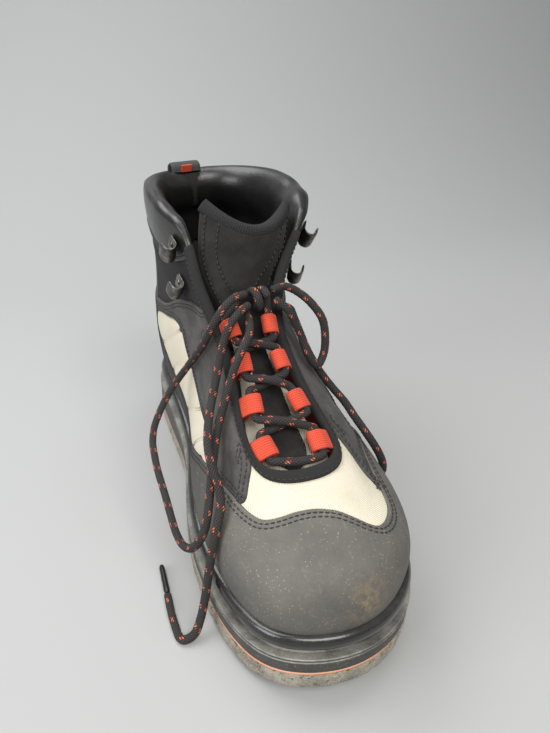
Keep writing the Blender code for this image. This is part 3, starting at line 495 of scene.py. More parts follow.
def curve_through(points, count):
    """Evenly spaced points on a smooth curve through the given points."""
    p = np.asarray(points, float)
    ahead = np.vstack([2 * p[0] - p[1], p, 2 * p[-1] - p[-2]])
    fine = []
    for i in range(1, len(ahead) - 2):
        a, b, c, d = ahead[i - 1 : i + 3]
        u = np.linspace(0, 1, 24, endpoint=False)[:, None]
        fine.append(
            ((-u + 2 * u**2 - u**3) * a + (2 - 5 * u**2 + 3 * u**3) * b
             + (u + 4 * u**2 - 3 * u**3) * c + (u**3 - u**2) * d) / 2
        )
    fine = np.vstack(fine + [p[-1:]])
    length = lengths(fine, 0)
    even = np.linspace(0, length[-1], count)
    return read_rows(even, length, fine)


def directions(route):
    """Unit vectors along a route, and two that stay square to it without twisting."""
    way = unit(np.gradient(route, axis=0))
    side = np.cross(way[0], (0.31, 0.22, 0.93))
    sides = []
    for ahead in way:
        side = unit(side - ahead * (side @ ahead))
        sides.append(side)
    sides = np.array(sides)
    return way, sides, np.cross(way, sides)


def tube(route, radius, sides):
    """Rings of points round a route; radius is a row of values, one for each ring or each point."""
    _, side, over = directions(route)
    turn = 2 * np.pi * np.arange(sides) / sides
    reach = np.reshape(radius, (len(route), -1, 1))
    return route[:, None] + reach * (
        np.cos(turn)[:, None] * side[:, None] + np.sin(turn)[:, None] * over[:, None]
    )


def tube_faces(rings, sides):
    """Faces of a tube with an end cap at both ends, and the row and column of its corners."""
    faces, r, c = lay(rings, sides, wrap_columns=True)
    return list(faces) + [np.arange(sides), (rings - 1) * sides + np.arange(sides)], r, c


def tube_uv(u, v, sides):
    """UV of a tube's faces; both end caps lie in one point of the map."""
    return np.concatenate([np.stack([u, v], -1).reshape(-1, 2), np.zeros((2 * sides, 2))])


print("a tube of 5 rings with 4 sides has", len(tube_faces(5, 4)[0]), "faces")

# %% [markdown]
# The lace is one round braid, 4.6 mm thick. Its strands show as small slanted lumps, and two
# salmon flecks lie side by side every 12 mm. Its route was chosen from the picture:
# through the webbing loops from side to side, into the knot, out in two bows and down to the
# floor in two ends with hard tips.

# %% Braided lace finish
PLAIT = 3.3


def lace_finish():
    made, tree, sockets = finish_named("braided_polyester_lace", Roughness=0.82, IOR=1.5)
    around, along, _ = add(tree, "SeparateXYZ", add(tree, "TexCoord", out="UV")).node.outputs
    # One plait is 1.9 mm long; 8 strands go round each way
    length = add(tree, "Math", along, PLAIT, operation="MULTIPLY")
    turns = add(tree, "Math", around, 50.3, operation="MULTIPLY")
    right_hand = add(tree, "Math", add(tree, "Math", length, turns, operation="ADD"), operation="SINE")
    left_hand = add(tree, "Math", add(tree, "Math", length, turns, operation="SUBTRACT"), operation="SINE")
    strands = add(tree, "Math", right_hand, left_hand, operation="MAXIMUM")
    # Flecks: every 12.4 mm along, on some of the strands only
    winding = add(tree, "Math", around, 6.0, along, operation="MULTIPLY_ADD")
    repeat = add(tree, "Math", winding, 6.2, operation="PINGPONG")
    near = add(tree, "MapRange", repeat, 1.5, 1.0)
    fourth = add(tree, "Math", add(tree, "Math", around, 25.13, operation="MULTIPLY"), operation="SINE")
    split = add(tree, "MapRange", fourth, 0.15, 0.45)
    over = add(tree, "MapRange", left_hand, -0.4, 0.3)
    fleck = add(tree, "Math", add(tree, "Math", near, split, operation="MULTIPLY"), over,
                operation="MULTIPLY")
    light = add(tree, "MapRange", strands, -0.2, 0.9)
    dark = add(tree, "Mix", light, "0E0D0D", "343130", data_type="RGBA")
    add(tree, "Mix", fleck, dark, "D9694B", data_type="RGBA", to=sockets["Base Color"])
    add(tree, "Bump", Height=strands, Distance=0.00022, to=sockets["Normal"])
    return made


lace_material = lace_finish()
print("lace finish:", lace_material.name)

# %% [markdown]
# Each half of the lace starts at the lowest loops, crosses from side to side on its way up and
# ends in the knot. The free parts start there and fall to the floor.

# %% Lace routes
LACE, LACE_LIFT, BAR_REACH = 0.0046, 0.0026, 0.0052
# The plait's turn in radians a millimetre is set with the finish; its strands stand up by LUMP
STRANDS, LUMP, ROUNDED_END = 8, 0.00010, 0.0012
WEBBING_WIDTH, WEBBING = 0.0112, 0.0012
EYE_REACH, EYE_DROP = 0.0088, -0.0008
LOOP_STATIONS = (1.75, 2.95, 3.9, 4.76)
LACE_STOPS = (0.70, 0.5, 0.0, -0.5, -0.70)
KNOT_PLACE = np.array((-4.5, -17, 157)) * mm
KNOT_RADIUS, KNOT_PITCH, KNOT_TURNS = 0.0050, 0.0054, 1.4
CORD_SPACING = 0.0100
# Free parts of the lace from the knot, in millimetres
CORD_ROUTES = {
    "lace_bow_medial": (
        (-11.5, -17, 161), (-20.5, -21, 161), (-30, -26.3, 156), (-36, -22.5, 142),
        (-38, -14, 130), (-42, 3, 110), (-57, 4, 89), (-70, -6, 70), (-73, -24, 60),
        (-72, -46, 50), (-70.5, -70, 40), (-66.5, -83, 44), (-61, -89, 58), (-56.5, -86, 71),
        (-50, -73, 88), (-42, -58, 103), (-36, -52.5, 116), (-27.5, -46.5, 135.5),
        (-20.5, -40.5, 142.5), (-15.5, -34, 146.5), (-13.5, -26, 149.5), (-12.5, -18, 151.5),
    ),
    "lace_end_medial": (
        (-11.5, -21, 156), (-20, -28, 155), (-27.5, -32, 148.5), (-32, -35, 138),
        (-36.5, -40, 126), (-41, -46, 116), (-45.5, -54, 109), (-50, -65.5, 101), (-51, -75, 94),
        (-49.5, -86.5, 80.5), (-54.5, -95, 68), (-58, -97.5, 55), (-60.5, -98.5, 40), (-64, -101, 22),
        (-70, -106, 7), (-78, -109, 2.6), (-81, -95, 2.6), (-80.5, -77, 2.6),
    ),
    "lace_bow_lateral": (
        (2.9, -17, 161), (13, -14.5, 161), (21, -16, 156.5), (28, -20.5, 149.5), (33, -24.5, 140.5),
        (34, -27, 130.5), (32, -30.5, 121), (27, -34.5, 117), (22, -34.5, 121), (20, -30, 129.5),
        (16.5, -26.5, 139), (11, -26, 150.5), (2.9, -22.4, 158.0),
    ),
    "lace_end_lateral": (
        (6.0, -19.0, 152), (12, -19.5, 151), (17.5, -15.5, 144), (22, -15.5, 134),
        (25.5, -21, 122.5), (29, -29.5, 113), (35, -37, 103), (40, -43, 96.5), (44, -54, 88),
        (49.5, -63, 78), (56, -65, 66), (61.5, -62, 53), (66, -54, 38), (72, -42, 18),
        (74, -28, 3.5), (75, -14, 2.6), (72, 4, 2.6),
    ),
}
TIP_LENGTH, TIP_DIAMETER = 0.020, 0.0038


def wall_place(station, place, side):
    """Point on the solid wall's outer and inner face, and its directions out, up and to the toe."""
    s, t = np.array([station / STATIONS * side]), np.array([min(place, 0.999)])
    pad = collar_share(s, t)[0]
    out = upper_out(s, t)[0]
    face = upper_face(s, t)[0]
    toe = unit((upper_face(s - 1e-3, t) - upper_face(s + 1e-3, t))[0] * side)
    up_way = np.cross(toe, out) * side
    outer = face + out * (OVERLAY + COLLAR_SWELL * pad)
    inner = face - out * (WALL + COLLAR_PAD * pad)
    return outer, inner, out, up_way, toe


def eye_frame(station, side):
    outer, inner, out, up_way, toe = wall_place(station, 1.0, side)
    return (outer + inner) / 2 + up_way * EYE_REACH - out * EYE_DROP, out, up_way, toe


def lace_half(first):
    """Route of one half of the lace from the lowest bar to the knot."""
    points, side = [], first
    for number, station in enumerate(LOOP_STATIONS):
        eye, out, _, toe = eye_frame(station, side)
        points += [eye + toe * WEBBING_WIDTH * k for k in LACE_STOPS]
        if number + 1 < len(LOOP_STATIONS):
            other, other_out, _, _ = eye_frame(LOOP_STATIONS[number + 1], -side)
            normal = (out + other_out) / np.linalg.norm(out + other_out)
            points.append((eye + other) / 2 + normal * LACE_LIFT * first * (-1) ** number)
        side = -side
    return points + [KNOT_PLACE + [-side * 0.0070, 0.0053, 0.0000]]


print("points on half of the lace:", len(lace_half(1)))

# %% [markdown]
# The lace is a plait of strands, so its surface has fine crossing lumps.

# %% Braid, and the lace's crossings
def braid(name, route, replaced):
    """A round braided lace along a route, ends rounded off."""
    length = float(lengths(route, 0)[-1])
    rings, sides = max(12, round(length / 0.0011)), 16
    fine = curve_through(route, rings)
    turn = 2 * np.pi * np.arange(sides) / sides
    along = np.linspace(0, length, rings)[:, None] / mm
    lumps = np.maximum(np.sin(along * PLAIT + STRANDS * turn), np.sin(along * PLAIT - STRANDS * turn))
    radius = LACE / 2 + LUMP * lumps
    end = np.minimum(along, length / mm - along) * mm
    radius = radius * np.sqrt(np.clip(1 - (1 - np.clip(end / ROUNDED_END, 0, 1)) ** 2, 0.12, 1))
    faces, r, c = tube_faces(rings, sides)
    uv = tube_uv(c / sides, r * length / mm / (rings - 1), sides)
    made = piece(name, tube(fine, radius, sides), faces, [lace_material], uv)
    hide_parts(replaced)
    return made, fine, length


outer, inner, out, up_way, _ = wall_place(0.0, 1.0, 1)
bar = (outer + inner) / 2 + up_way * BAR_REACH + out * LACE / 2
crossing_route = curve_through(lace_half(1)[::-1] + [bar] + lace_half(-1), 78)
_, _, crossings_length = braid("braided_lace_crossings", crossing_route, "lace_crossings")
print("lace in the loops:", round(crossings_length, 3), "m")

# %% [markdown]
# The knot is a short coil. Bows and ends are free cords, each swept along its route from the
# point where it leaves the knot; the ends get hard tips.

# %% Knot, bows and ends
def tip_finish():
    # Hard heat-shrunk tube, smooth and a little glossy
    made, tree, sockets = finish_named("acetate_lace_tip", Base_Color="141313", Roughness=0.32, IOR=1.47)
    waves = add(tree, "TexNoise", add(tree, "TexCoord", out="Object"), 900.0)
    add(tree, "Bump", Height=waves, Distance=0.00004, to=sockets["Normal"])
    return made


def lace_tip(name, start, way, replaced):
    """A tube that tapers a little at its free end."""
    count, sides = 14, 20
    share = np.linspace(0, 1, count)
    route = start + np.outer(share * TIP_LENGTH, way)
    radius = TIP_DIAMETER / 2 * (1 - 0.10 * share) * np.where((share == 0) | (share == 1), 0.72, 1)
    made = piece(name, tube(route, radius, sides), tube_faces(count, sides)[0], [tip_material], sharp=40)
    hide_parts(replaced)
    return made


tip_material = tip_finish()
turn = np.linspace(-KNOT_TURNS / 2, KNOT_TURNS / 2, 25)
coil = np.column_stack([
    turn * KNOT_PITCH, KNOT_RADIUS * np.sin(turn * 2 * np.pi), -KNOT_RADIUS * np.cos(turn * 2 * np.pi)
])
knot, knot_path, knot_length = braid("lace_knot_braid", curve_through(KNOT_PLACE + coil, 14), "lace_knot")
for name, drawn in CORD_ROUTES.items():
    drawn = np.array(drawn, float) * mm
    count = round(np.linalg.norm(np.diff(drawn, axis=0), axis=1).sum() / CORD_SPACING) + 1
    route = curve_through(drawn, count)
    made, path, length = braid(name + "_braid", route, name)
    ends_free = "end" in name
    tips = []
    if ends_free:
        way = unit(drawn[-1] - drawn[-2])
        tip = name.replace("end", "tip")
        tips = [lace_tip(tip + "_sleeve", drawn[-1] + way * GAP, way, tip)]
    print(name, round(length, 3), "m")

# %% [markdown]
# Wading boots stand on felt, which grips wet stones. Above it lie a thin tan rubber strip, a
# black rubber midsole with a sunk groove, and a glossy rounded lip that seals the upper's foot.
# Each layer is the same outline at its own inset and height, so one function makes them all.

# %% Rubber and felt finishes
def dusty_top_lit_rubber(name, colour, dust_and_top_light, amount, **values):
    """Moulded rubber with pale dust specks; faces turned up are painted paler, both settled dust and
    painted light from above.
    """
    made, tree, sockets = finish_named(name, IOR=1.52, **values)
    place = add(tree, "TexCoord", out="Object")
    cloud = add(tree, "MapRange", add(tree, "TexNoise", place, 70.0, 5.0, 0.65), 0.35, 0.70, 0.25, 1.0)
    specks = add(tree, "MapRange", add(tree, "TexNoise", place, 1100.0, 2.0, 0.6), 0.60, 0.70, 0.0, 0.4)
    # Faces turned up get the pale colour: painted light from above, together with the dust that settles
    # there
    upward = add(tree, "SeparateXYZ", add(tree, "NewGeometry", out="Normal"), out="Z")
    top_light_and_dust = add(tree, "Math", add(tree, "MapRange", upward, 0.3, 0.9, 0.12, 1.0), cloud,
               operation="MULTIPLY")
    share = add(tree, "Math", add(tree, "Math", top_light_and_dust, specks, operation="ADD"), amount,
                operation="MULTIPLY", use_clamp=True)
    add(tree, "Mix", share, colour, dust_and_top_light, data_type="RGBA", to=sockets["Base Color"])
    grain = add(tree, "TexNoise", place, 1400.0, 2.0)
    add(tree, "Bump", Height=grain, Distance=0.00005, Strength=0.8, to=sockets["Normal"])
    return made


def felt_finish():
    # Pressed grey-brown wool felt: matt, mottled, with dark wet specks and pale fibres
    made, tree, sockets = finish_named("pressed_wool_felt", Roughness=0.97, IOR=1.45, Sheen_Weight=0.2,
                                       Sheen_Roughness=0.5)
    place = add(tree, "TexCoord", out="Object")
    cloud = add(tree, "MapRange", add(tree, "TexNoise", place, 75.0, 6.0, 0.72), 0.36, 0.66)
    fuzz = add(tree, "TexNoise", place, 1300.0, 3.0, 0.7)
    dirt = add(tree, "MapRange", add(tree, "TexNoise", place, 420.0, 3.0, 0.7), 0.56, 0.66, 0.0, 0.85)
    wool = add(tree, "Mix", cloud, "554F44", "A39C8A", data_type="RGBA")
    pale = add(tree, "Mix", add(tree, "MapRange", fuzz, 0.45, 0.68, 0.0, 0.8), wool, "B7B0A0",
               data_type="RGBA")
    add(tree, "Mix", dirt, pale, "2B2620", data_type="RGBA", to=sockets["Base Color"])
    add(tree, "Bump", Height=fuzz, Distance=0.0006, to=sockets["Normal"])
    return made


felt_material = felt_finish()
# Each rubber's second colour is its dust and also its painted light from above on faces turned up
strip_material = dusty_top_lit_rubber("tan_crepe_rubber", "D98F6A", "F2CDB2", 0.7, Roughness=0.7)
midsole_material = dusty_top_lit_rubber("black_moulded_rubber", "2E2D2B", "B3B1A8", 0.75, Roughness=0.62)
lip_material = dusty_top_lit_rubber("polished_black_rubber", "0C0C0C", "6F6E6A", 0.28, Roughness=0.24,
                            Coat_Weight=0.3, Coat_Roughness=0.12)
print("rubber and felt:", felt_material.name, strip_material.name, midsole_material.name, lip_material.name)

# %% [markdown]
# A layer is a stack of rings. A ring is the sole's outline at one inset and one height, and
# rows of faces close the stack at the top and underneath.

# %% Sole layers
AROUND = 440


def layer(name, levels, finish, replaced, rough=0.0):
    """A sole layer from (inset, height) levels, floor side first, closed by rows of faces."""
    shares = np.arange(AROUND) / AROUND
    rings = []
    for inset, height in levels:
        plan = outline(shares, inset)
        rings.append(np.column_stack([plan, height(plan[:, 1])]))
    points = np.array(rings)
    if rough:
        chance = np.random.default_rng(7).normal(size=points.shape)
        chance[0], chance[-1] = chance[0] * [0.5, 0.5, 0], chance[-1] * [0.5, 0.5, 0]
        points = points + chance * rough
    rows = len(rings)
    faces, _, _ = lay(rows, AROUND, wrap_columns=True)
    faces = [tuple(f) for f in faces]
    half = AROUND // 2
    for first in (0, (rows - 1) * AROUND):
        faces.append((first, first + 1, first + AROUND - 1))
        faces += [
            (first + k, first + k + 1, first + AROUND - k - 1, first + AROUND - k)
            for k in range(1, half - 1)
        ]
        faces.append((first + half - 1, first + half, first + half + 1))
    made = piece(name, points, faces, [finish], sharp=35)
    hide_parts(replaced)
    return made


def between(low, high, share):
    return lambda y: low(y) + (high(y) - low(y)) * share


def felt_top(y):
    return felt_bottom(y) + FELT


def ledge(y):
    return sole_top(y) - GROOVE_HEIGHT


felt_levels = [(0.0022, felt_bottom), (0.0007, between(felt_bottom, felt_top, 0.04))]
felt_levels += [(0.0, between(felt_bottom, felt_top, k)) for k in (0.16, 0.3, 0.44, 0.58, 0.72, 0.86)]
felt_levels += [(0.0003, between(felt_bottom, felt_top, 0.96)), (0.0010, felt_top)]
layer("felt_sole", felt_levels, felt_material, "felt_outsole", rough=0.00022)
strip_top = between(strip_bottom, lambda y: strip_bottom(y) + STRIP, 1.0)
layer("crepe_strip", [(0.0009, strip_bottom), (0.0005, between(strip_bottom, strip_top, 0.3)),
                      (0.0005, between(strip_bottom, strip_top, 0.8)), (0.0009, strip_top)],
                      strip_material, "tan_strip")
layer("rubber_midsole", [
    (0.0012, midsole_bottom),
    (0.0004, lambda y: midsole_bottom(y) + 0.0005), (0.0, lambda y: midsole_bottom(y) + 0.0014),
    (0.0002, between(midsole_bottom, ledge, 0.5)),
    (0.0, lambda y: ledge(y) - 0.0024), (0.0005, lambda y: ledge(y) - 0.0019),
    (0.0005, lambda y: ledge(y) - 0.0015),
    (0.0001, lambda y: ledge(y) - 0.0010), (0.0002, lambda y: ledge(y) - 0.0004), (0.0007, ledge),
    (0.0050, ledge), (0.0058, lambda y: ledge(y) + 0.0006), (0.0062, lambda y: ledge(y) + 0.0020),
    (0.0062, sole_top),
], midsole_material, "midsole")
print("felt, strip and midsole stand", round(float(sole_top(0.1) / mm), 1), "mm high at the heel")

# %% [markdown]
# The lip follows the upper's foot all the way round: a small cross-section, bulging at a third
# of its height, is swept along it.

# %% Glossy lip
def lip():
    station = np.arange(AROUND) / AROUND * STATIONS
    foot = skin(station, 0.0, OVERLAY)
    above_foot = skin(station, LINE_PLACES[1] * LIP_HEIGHT / LOW_WALL_HEIGHT, OVERLAY)
    out = unit(skin_out(station, 0.05) * [1, 1, 0])
    rings = []
    for share, rise in ((0.05, 0.0), (0.55, 0.0), (0.85, 0.06), (0.98, 0.2), (1.0, 0.38), (0.95, 0.58),
                        (0.82, 0.76), (0.62, 0.9), (0.4, 0.98), (0.2, 1.0), (0.03, 1.02)):
        base = foot + (above_foot - foot) * rise
        swelled = base * [1, 1, 0] + foot * [0, 0, 1] + out * LIP_THICKNESS * share
        rings.append(swelled + [0, 0, LIP_HEIGHT * rise])
    faces, _, _ = lay(len(rings), AROUND, wrap_rows=True, wrap_columns=True)
    made = piece("glossy_foxing_lip", rings, faces, [lip_material], sharp=60)
    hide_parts("foxing_lip")
    return made


print("lip:", len(lip().data.polygons), "faces")

# %% [markdown]
# What repeats by the hundred is laid by Geometry Nodes. Two helpers serve every tree: one
# starts a tree with named inputs, the other runs it and keeps the result as a plain mesh.

# %% Geometry Nodes helpers
def node_tree(name, inputs):
    """A Geometry Nodes tree with named inputs; returns the tree, its input and its output node."""
    tree = bpy.data.node_groups.new(name, "GeometryNodeTree")
    tree.interface.new_socket("Geometry", in_out="INPUT", socket_type="NodeSocketGeometry")
    for label, value in inputs.items():
        kind = {float: "NodeSocketFloat", int: "NodeSocketInt"}.get(type(value), "NodeSocketMaterial")
        tree.interface.new_socket(label, in_out="INPUT", socket_type=kind)
    tree.interface.new_socket("Geometry", in_out="OUTPUT", socket_type="NodeSocketGeometry")
    return tree, tree.nodes.new("NodeGroupInput").outputs, tree.nodes.new("NodeGroupOutput")


def grown(name, mesh, tree, inputs):
    """Runs a tree on a mesh and keeps the result as a plain mesh piece."""
    holder = bpy.data.objects.new("holder", mesh)
    bpy.context.scene.collection.objects.link(holder)
    grow = holder.modifiers.new("grow", "NODES")
    grow.node_group = tree
    for socket in tree.interface.items_tree:
        if socket.in_out == "INPUT" and socket.name in inputs:
            grow[socket.identifier] = inputs[socket.name]
    graph = bpy.context.evaluated_depsgraph_get()
    made = bpy.data.objects.new(name, bpy.data.meshes.new_from_object(holder.evaluated_get(graph)))
    bpy.data.objects.remove(holder)
    bpy.context.scene.collection.objects.link(made)
    made.data.shade_smooth()
    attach(made, "root")
    print(name, len(made.data.polygons), "faces")
    return made


print("tree helpers:", node_tree.__name__, "and", grown.__name__)

# %% [markdown]
# The felt's edge frays into short fibres. They are scattered over the felt's side: points on
# the faces, one thin sliver on each, turned at random with a fixed seed.

# %% Felt fibres
def fibre_tree(inputs):
    tree, given, leave = node_tree("felt_fibres", inputs)
    points = add(tree, "GeometryNodeDistributePointsOnFaces", given["Geometry"],
                 Density=given["Per square metre"], Seed=given["Seed"])
    sliver = add(tree, "GeometryNodeMeshCone", Vertices=3, Radius_Top=0.0,
                 Radius_Bottom=given["Fibre width"], Depth=given["Fibre length"])
    lean = add(tree, "FunctionNodeRandomValue", (-1.1, -1.1, 0.0), (1.1, 1.1, 6.28), Seed=3,
               data_type="FLOAT_VECTOR")
    turned = add(tree, "FunctionNodeRotateRotation", points.node.outputs["Rotation"], lean,
                 rotation_space="LOCAL")
    size = add(tree, "FunctionNodeRandomValue", 0.4, 1.0, Seed=5, data_type="FLOAT")
    put = add(tree, "GeometryNodeInstanceOnPoints", points, Instance=sliver, Rotation=turned, Scale=size)
    real = add(tree, "GeometryNodeRealizeInstances", put)
    add(tree, "GeometryNodeSetMaterial", real, Material=given["Fibre"], to=leave.inputs[0])
    return tree


fibre_inputs = {"Per square metre": 620000.0, "Seed": 11, "Fibre width": 0.00009, "Fibre length": 0.0016,
                "Fibre": felt_material}
FRAY_COLUMNS = 160
shares = np.arange(FRAY_COLUMNS) / FRAY_COLUMNS
plan_low, plan_high = outline(shares, 0.0004), outline(shares, 0.0002)
band = np.array([np.column_stack([plan_low, felt_bottom(plan_low[:, 1]) + 0.001]),
                 np.column_stack([plan_high, felt_top(plan_high[:, 1]) - 0.0002])])
band_mesh = bpy.data.meshes.new("felt_side")
fray_faces = lay(2, FRAY_COLUMNS, wrap_columns=True)[0]
band_mesh.from_pydata(band.reshape(-1, 3).tolist(), [], fray_faces.tolist())
grown("felt_fray", band_mesh, fibre_tree(fibre_inputs), fibre_inputs)
print("fibres stand on", len(fray_faces), "faces round the felt")

# %% [markdown]
# The upper is a base shell with panels sewn on it, as in the factory. Each panel is drawn in
# stations and places by its four borders. A Coons patch, which blends the four borders, fills
# it with a grid; the skin function lifts the grid onto the boot, and the panel's cut edge is
# rounded off where the grid nears its border.

# %% Panels from their four borders
PATTERN = np.array([STATION_LENGTH, WAY_UP])
EDGE_POINTS = np.array([0.0, 0.25, 0.6, 1.1, 1.7]) * mm
PANEL_BACK = -0.6 * mm


def drawn(points, count=200):
    """A smooth line through given (station, place) points."""
    points = np.array(points, float) * PATTERN
    if len(points) == 2:
        return np.linspace(points[0], points[1], count) / PATTERN
    return curve_through(points, count) / PATTERN


def shares_along(length, step):
    """Shares of a length, close together at both ends where the edge is rounded."""
    inner = max(3, round((length - 2 * EDGE_POINTS[-1]) / step))
    middle = np.linspace(EDGE_POINTS[-1], length - EDGE_POINTS[-1], inner)
    return np.concatenate([EDGE_POINTS, middle[1:-1], length - EDGE_POINTS[::-1]]) / length


def at_share(line, share):
    return read_rows(share, np.linspace(0, 1, len(line)), line)


def patch(bottom, top, left, right, step):
    """Stations and places of a grid between four borders, from the bottom up."""
    long = [float(lengths(skin(b[:, 0], b[:, 1]), 0)[-1]) for b in (bottom, top, left, right)]
    across = shares_along(max(long[:2]), step)
    rows = shares_along(max(long[2:]), step)
    b, t = at_share(bottom, across)[None], at_share(top, across)[None]
    l, r = at_share(left, rows)[:, None], at_share(right, rows)[:, None]
    u, v = across[None, :, None], rows[:, None, None]
    flat = (1 - v) * (1 - u) * bottom[0] + (1 - v) * u * bottom[-1] + v * (1 - u) * top[0] + v * u * top[-1]
    return (1 - v) * b + v * t + (1 - u) * l + u * r - flat


def panel(name, borders, finish, level=OVERLAY, step=1.5 * mm, rounding=1.2 * mm, relief=None):
    """A sewn panel: its grid raised to its level, its edges rolled down to the shell."""
    bottom = drawn(borders["bottom"])
    top = borders["top"] if isinstance(borders["top"], np.ndarray) else drawn(borders["top"])
    left = drawn(borders.get("left", (borders["bottom"][0], top[0])))
    right = drawn(borders.get("right", (borders["bottom"][-1], top[-1])))
    grid = patch(bottom, top, left, right, step)
    station, place = grid[..., 0], grid[..., 1]
    flat = skin(station, place)
    across, down = lengths(flat, 1), lengths(flat, 0)
    edge = np.minimum.reduce([across, across[:, -1:] - across, down, down[-1:] - down])
    height = -0.2 * mm + (level + 0.2 * mm) * rounded(edge, rounding)
    if relief is not None:
        height = height + relief(edge, station, place) * np.clip(edge / rounding, 0, 1)
    made = slab(name, skin(station, place, height), skin(station, place, PANEL_BACK), finish)
    return made, {"bottom": bottom, "top": top, "left": left}


print("cut edges are rounded over", round(float(EDGE_POINTS[-1] / mm), 1), "mm")

# %% [markdown]
# Five finishes cover the upper. The toe cap and rand are a matt rubber-coated leather that
# keeps pale dust. The eyestay is charcoal nubuck, sanded to a short nap. The vamp and quarter
# are a cream twill, whose diagonal ribs are about 1 mm apart. The collar is a smooth black
# synthetic leather with a soft gloss, and the shaft's front is a black woven textile.

# %% Upper finishes
SCUFF = (0.0018, -0.1451, 0.0584)


def coated_leather():
    # Rubber-coated leather, moulded smooth: dull grey, dust in specks and smears, a tan scuff on the toe
    made, tree, sockets = finish_named("rubber_coated_leather", Roughness=0.74, IOR=1.5)
    place = add(tree, "TexCoord", out="Object")
    cloud = add(tree, "MapRange", add(tree, "TexNoise", place, 34.0, 6.0, 0.66), 0.34, 0.70)
    toward_heel = add(tree, "MapRange", add(tree, "SeparateXYZ", place, out="Y"), -0.085, -0.02)
    base = add(tree, "Mix", cloud, "53514D", "65625C", data_type="RGBA")
    base = add(tree, "Mix", toward_heel, base, "2C2B2B", data_type="RGBA")
    # Smears are drawn out along the boot
    smear_place = add(tree, "Mapping", place, Scale=(260.0, 90.0, 200.0))
    smear = add(tree, "MapRange", add(tree, "TexNoise", smear_place, 1.0, 4.0, 0.7), 0.58, 0.74, 0.0, 0.25)
    base = add(tree, "Mix", smear, base, "8B867B", data_type="RGBA")
    near = add(tree, "MapRange", add(tree, "VectorMath", place, SCUFF, operation="DISTANCE"), 0.014, 0.003)
    worn = add(tree, "MapRange", add(tree, "TexNoise", place, 240.0, 4.0, 0.7), 0.45, 0.60, 0.0, 0.6)
    base = add(tree, "Mix", add(tree, "Math", near, worn, operation="MULTIPLY"), base, "97805A",
               data_type="RGBA")
    # Dust grains 0.2 to 0.5 mm across, one chance in three in each cell
    grain = add(tree, "TexVoronoi", place, 900.0)
    chosen = add(tree, "MapRange", add(tree, "SeparateColor", grain.node.outputs["Color"], out="Red"),
                 0.55, 0.70)
    speck = add(tree, "Math", add(tree, "MapRange", grain, 0.24, 0.12), chosen, operation="MULTIPLY")
    drift = add(tree, "MapRange", add(tree, "TexNoise", place, 55.0, 3.0), 0.38, 0.60, 0.15, 0.75)
    speck = add(tree, "Math", speck, drift, operation="MULTIPLY")
    add(tree, "Mix", speck, base, "BDB8AD", data_type="RGBA", to=sockets["Base Color"])
    pebble = add(tree, "TexVoronoi", place, 900.0, feature="SMOOTH_F1")
    coarse = add(tree, "Math", add(tree, "TexNoise", place, 260.0, 4.0), 0.7, pebble,
                 operation="MULTIPLY_ADD")
    add(tree, "Bump", Height=coarse, Distance=0.00013, to=sockets["Normal"])
    return made


def nubuck():
    # Sanded leather: very matt, cloudy where the nap was brushed either way
    made, tree, sockets = finish_named("charcoal_nubuck", Roughness=0.92, IOR=1.45, Sheen_Weight=0.08,
                                       Sheen_Roughness=0.4)
    place = add(tree, "TexCoord", out="Object")
    cloud = add(tree, "MapRange", add(tree, "TexNoise", place, 70.0, 6.0, 0.62), 0.34, 0.70)
    fine = add(tree, "TexNoise", place, 1100.0, 3.0, 0.7)
    base = add(tree, "Mix", cloud, "363434", "514E4C", data_type="RGBA")
    nap = add(tree, "MapRange", fine, 0.56, 0.74, 0.0, 0.5)
    add(tree, "Mix", nap, base, "6E6B68", data_type="RGBA", to=sockets["Base Color"])
    add(tree, "Bump", Height=fine, Distance=0.00009, to=sockets["Normal"])
    return made


def twill():
    # Coated nylon twill: fine diagonal ribs 1.05 mm apart, slightly shiny, faint grime
    made, tree, sockets = finish_named("cream_nylon_twill", Roughness=0.66, IOR=1.53)
    cloth = add(tree, "TexCoord", out="UV")
    rib = add(tree, "Math", add(tree, "VectorMath", cloth, (5.2, 3.0, 0.0), operation="DOT_PRODUCT"),
              operation="SINE")
    cross = add(tree, "Math", add(tree, "VectorMath", cloth, (3.4, -7.0, 0.0), operation="DOT_PRODUCT"),
                operation="SINE")
    weave = add(tree, "Math", cross, 0.35, rib, operation="MULTIPLY_ADD")
    base = add(tree, "Mix", add(tree, "MapRange", weave, -1.1, 0.6), "C3BBA6", "E0D9C6", data_type="RGBA")
    stain = add(tree, "TexNoise", add(tree, "TexCoord", out="Object"), 42.0, 5.0, 0.65)
    grime = add(tree, "MapRange", stain, 0.42, 0.78, 0.0, 0.26)
    add(tree, "Mix", grime, base, "B3AB97", data_type="RGBA", to=sockets["Base Color"])
    add(tree, "Bump", Height=weave, Distance=0.00010, to=sockets["Normal"])
    return made


def synthetic_leather():
    # Smooth coated leather over foam: near black, soft gloss, fine creases
    made, tree, sockets = finish_named("black_synthetic_leather", Roughness=0.34, IOR=1.5,
                                       Coat_Weight=0.12, Coat_Roughness=0.22)
    place = add(tree, "TexCoord", out="Object")
    cloud = add(tree, "MapRange", add(tree, "TexNoise", place, 45.0, 4.0), 0.35, 0.70)
    add(tree, "Mix", cloud, "131313", "201F1F", data_type="RGBA", to=sockets["Base Color"])
    grain = add(tree, "TexVoronoi", place, 1300.0, feature="SMOOTH_F1")
    folds_place = add(tree, "Mapping", place, Scale=(60.0, 60.0, 150.0))
    middle = add(tree, "Math", add(tree, "TexNoise", folds_place, 1.0, 4.0, 0.6), 0.5, operation="SUBTRACT")
    crease = add(tree, "Math", middle, operation="ABSOLUTE")
    add(tree, "Bump", Height=add(tree, "Math", grain, 0.12, crease, operation="MULTIPLY_ADD"),
        Distance=0.0005, to=sockets["Normal"])
    return made


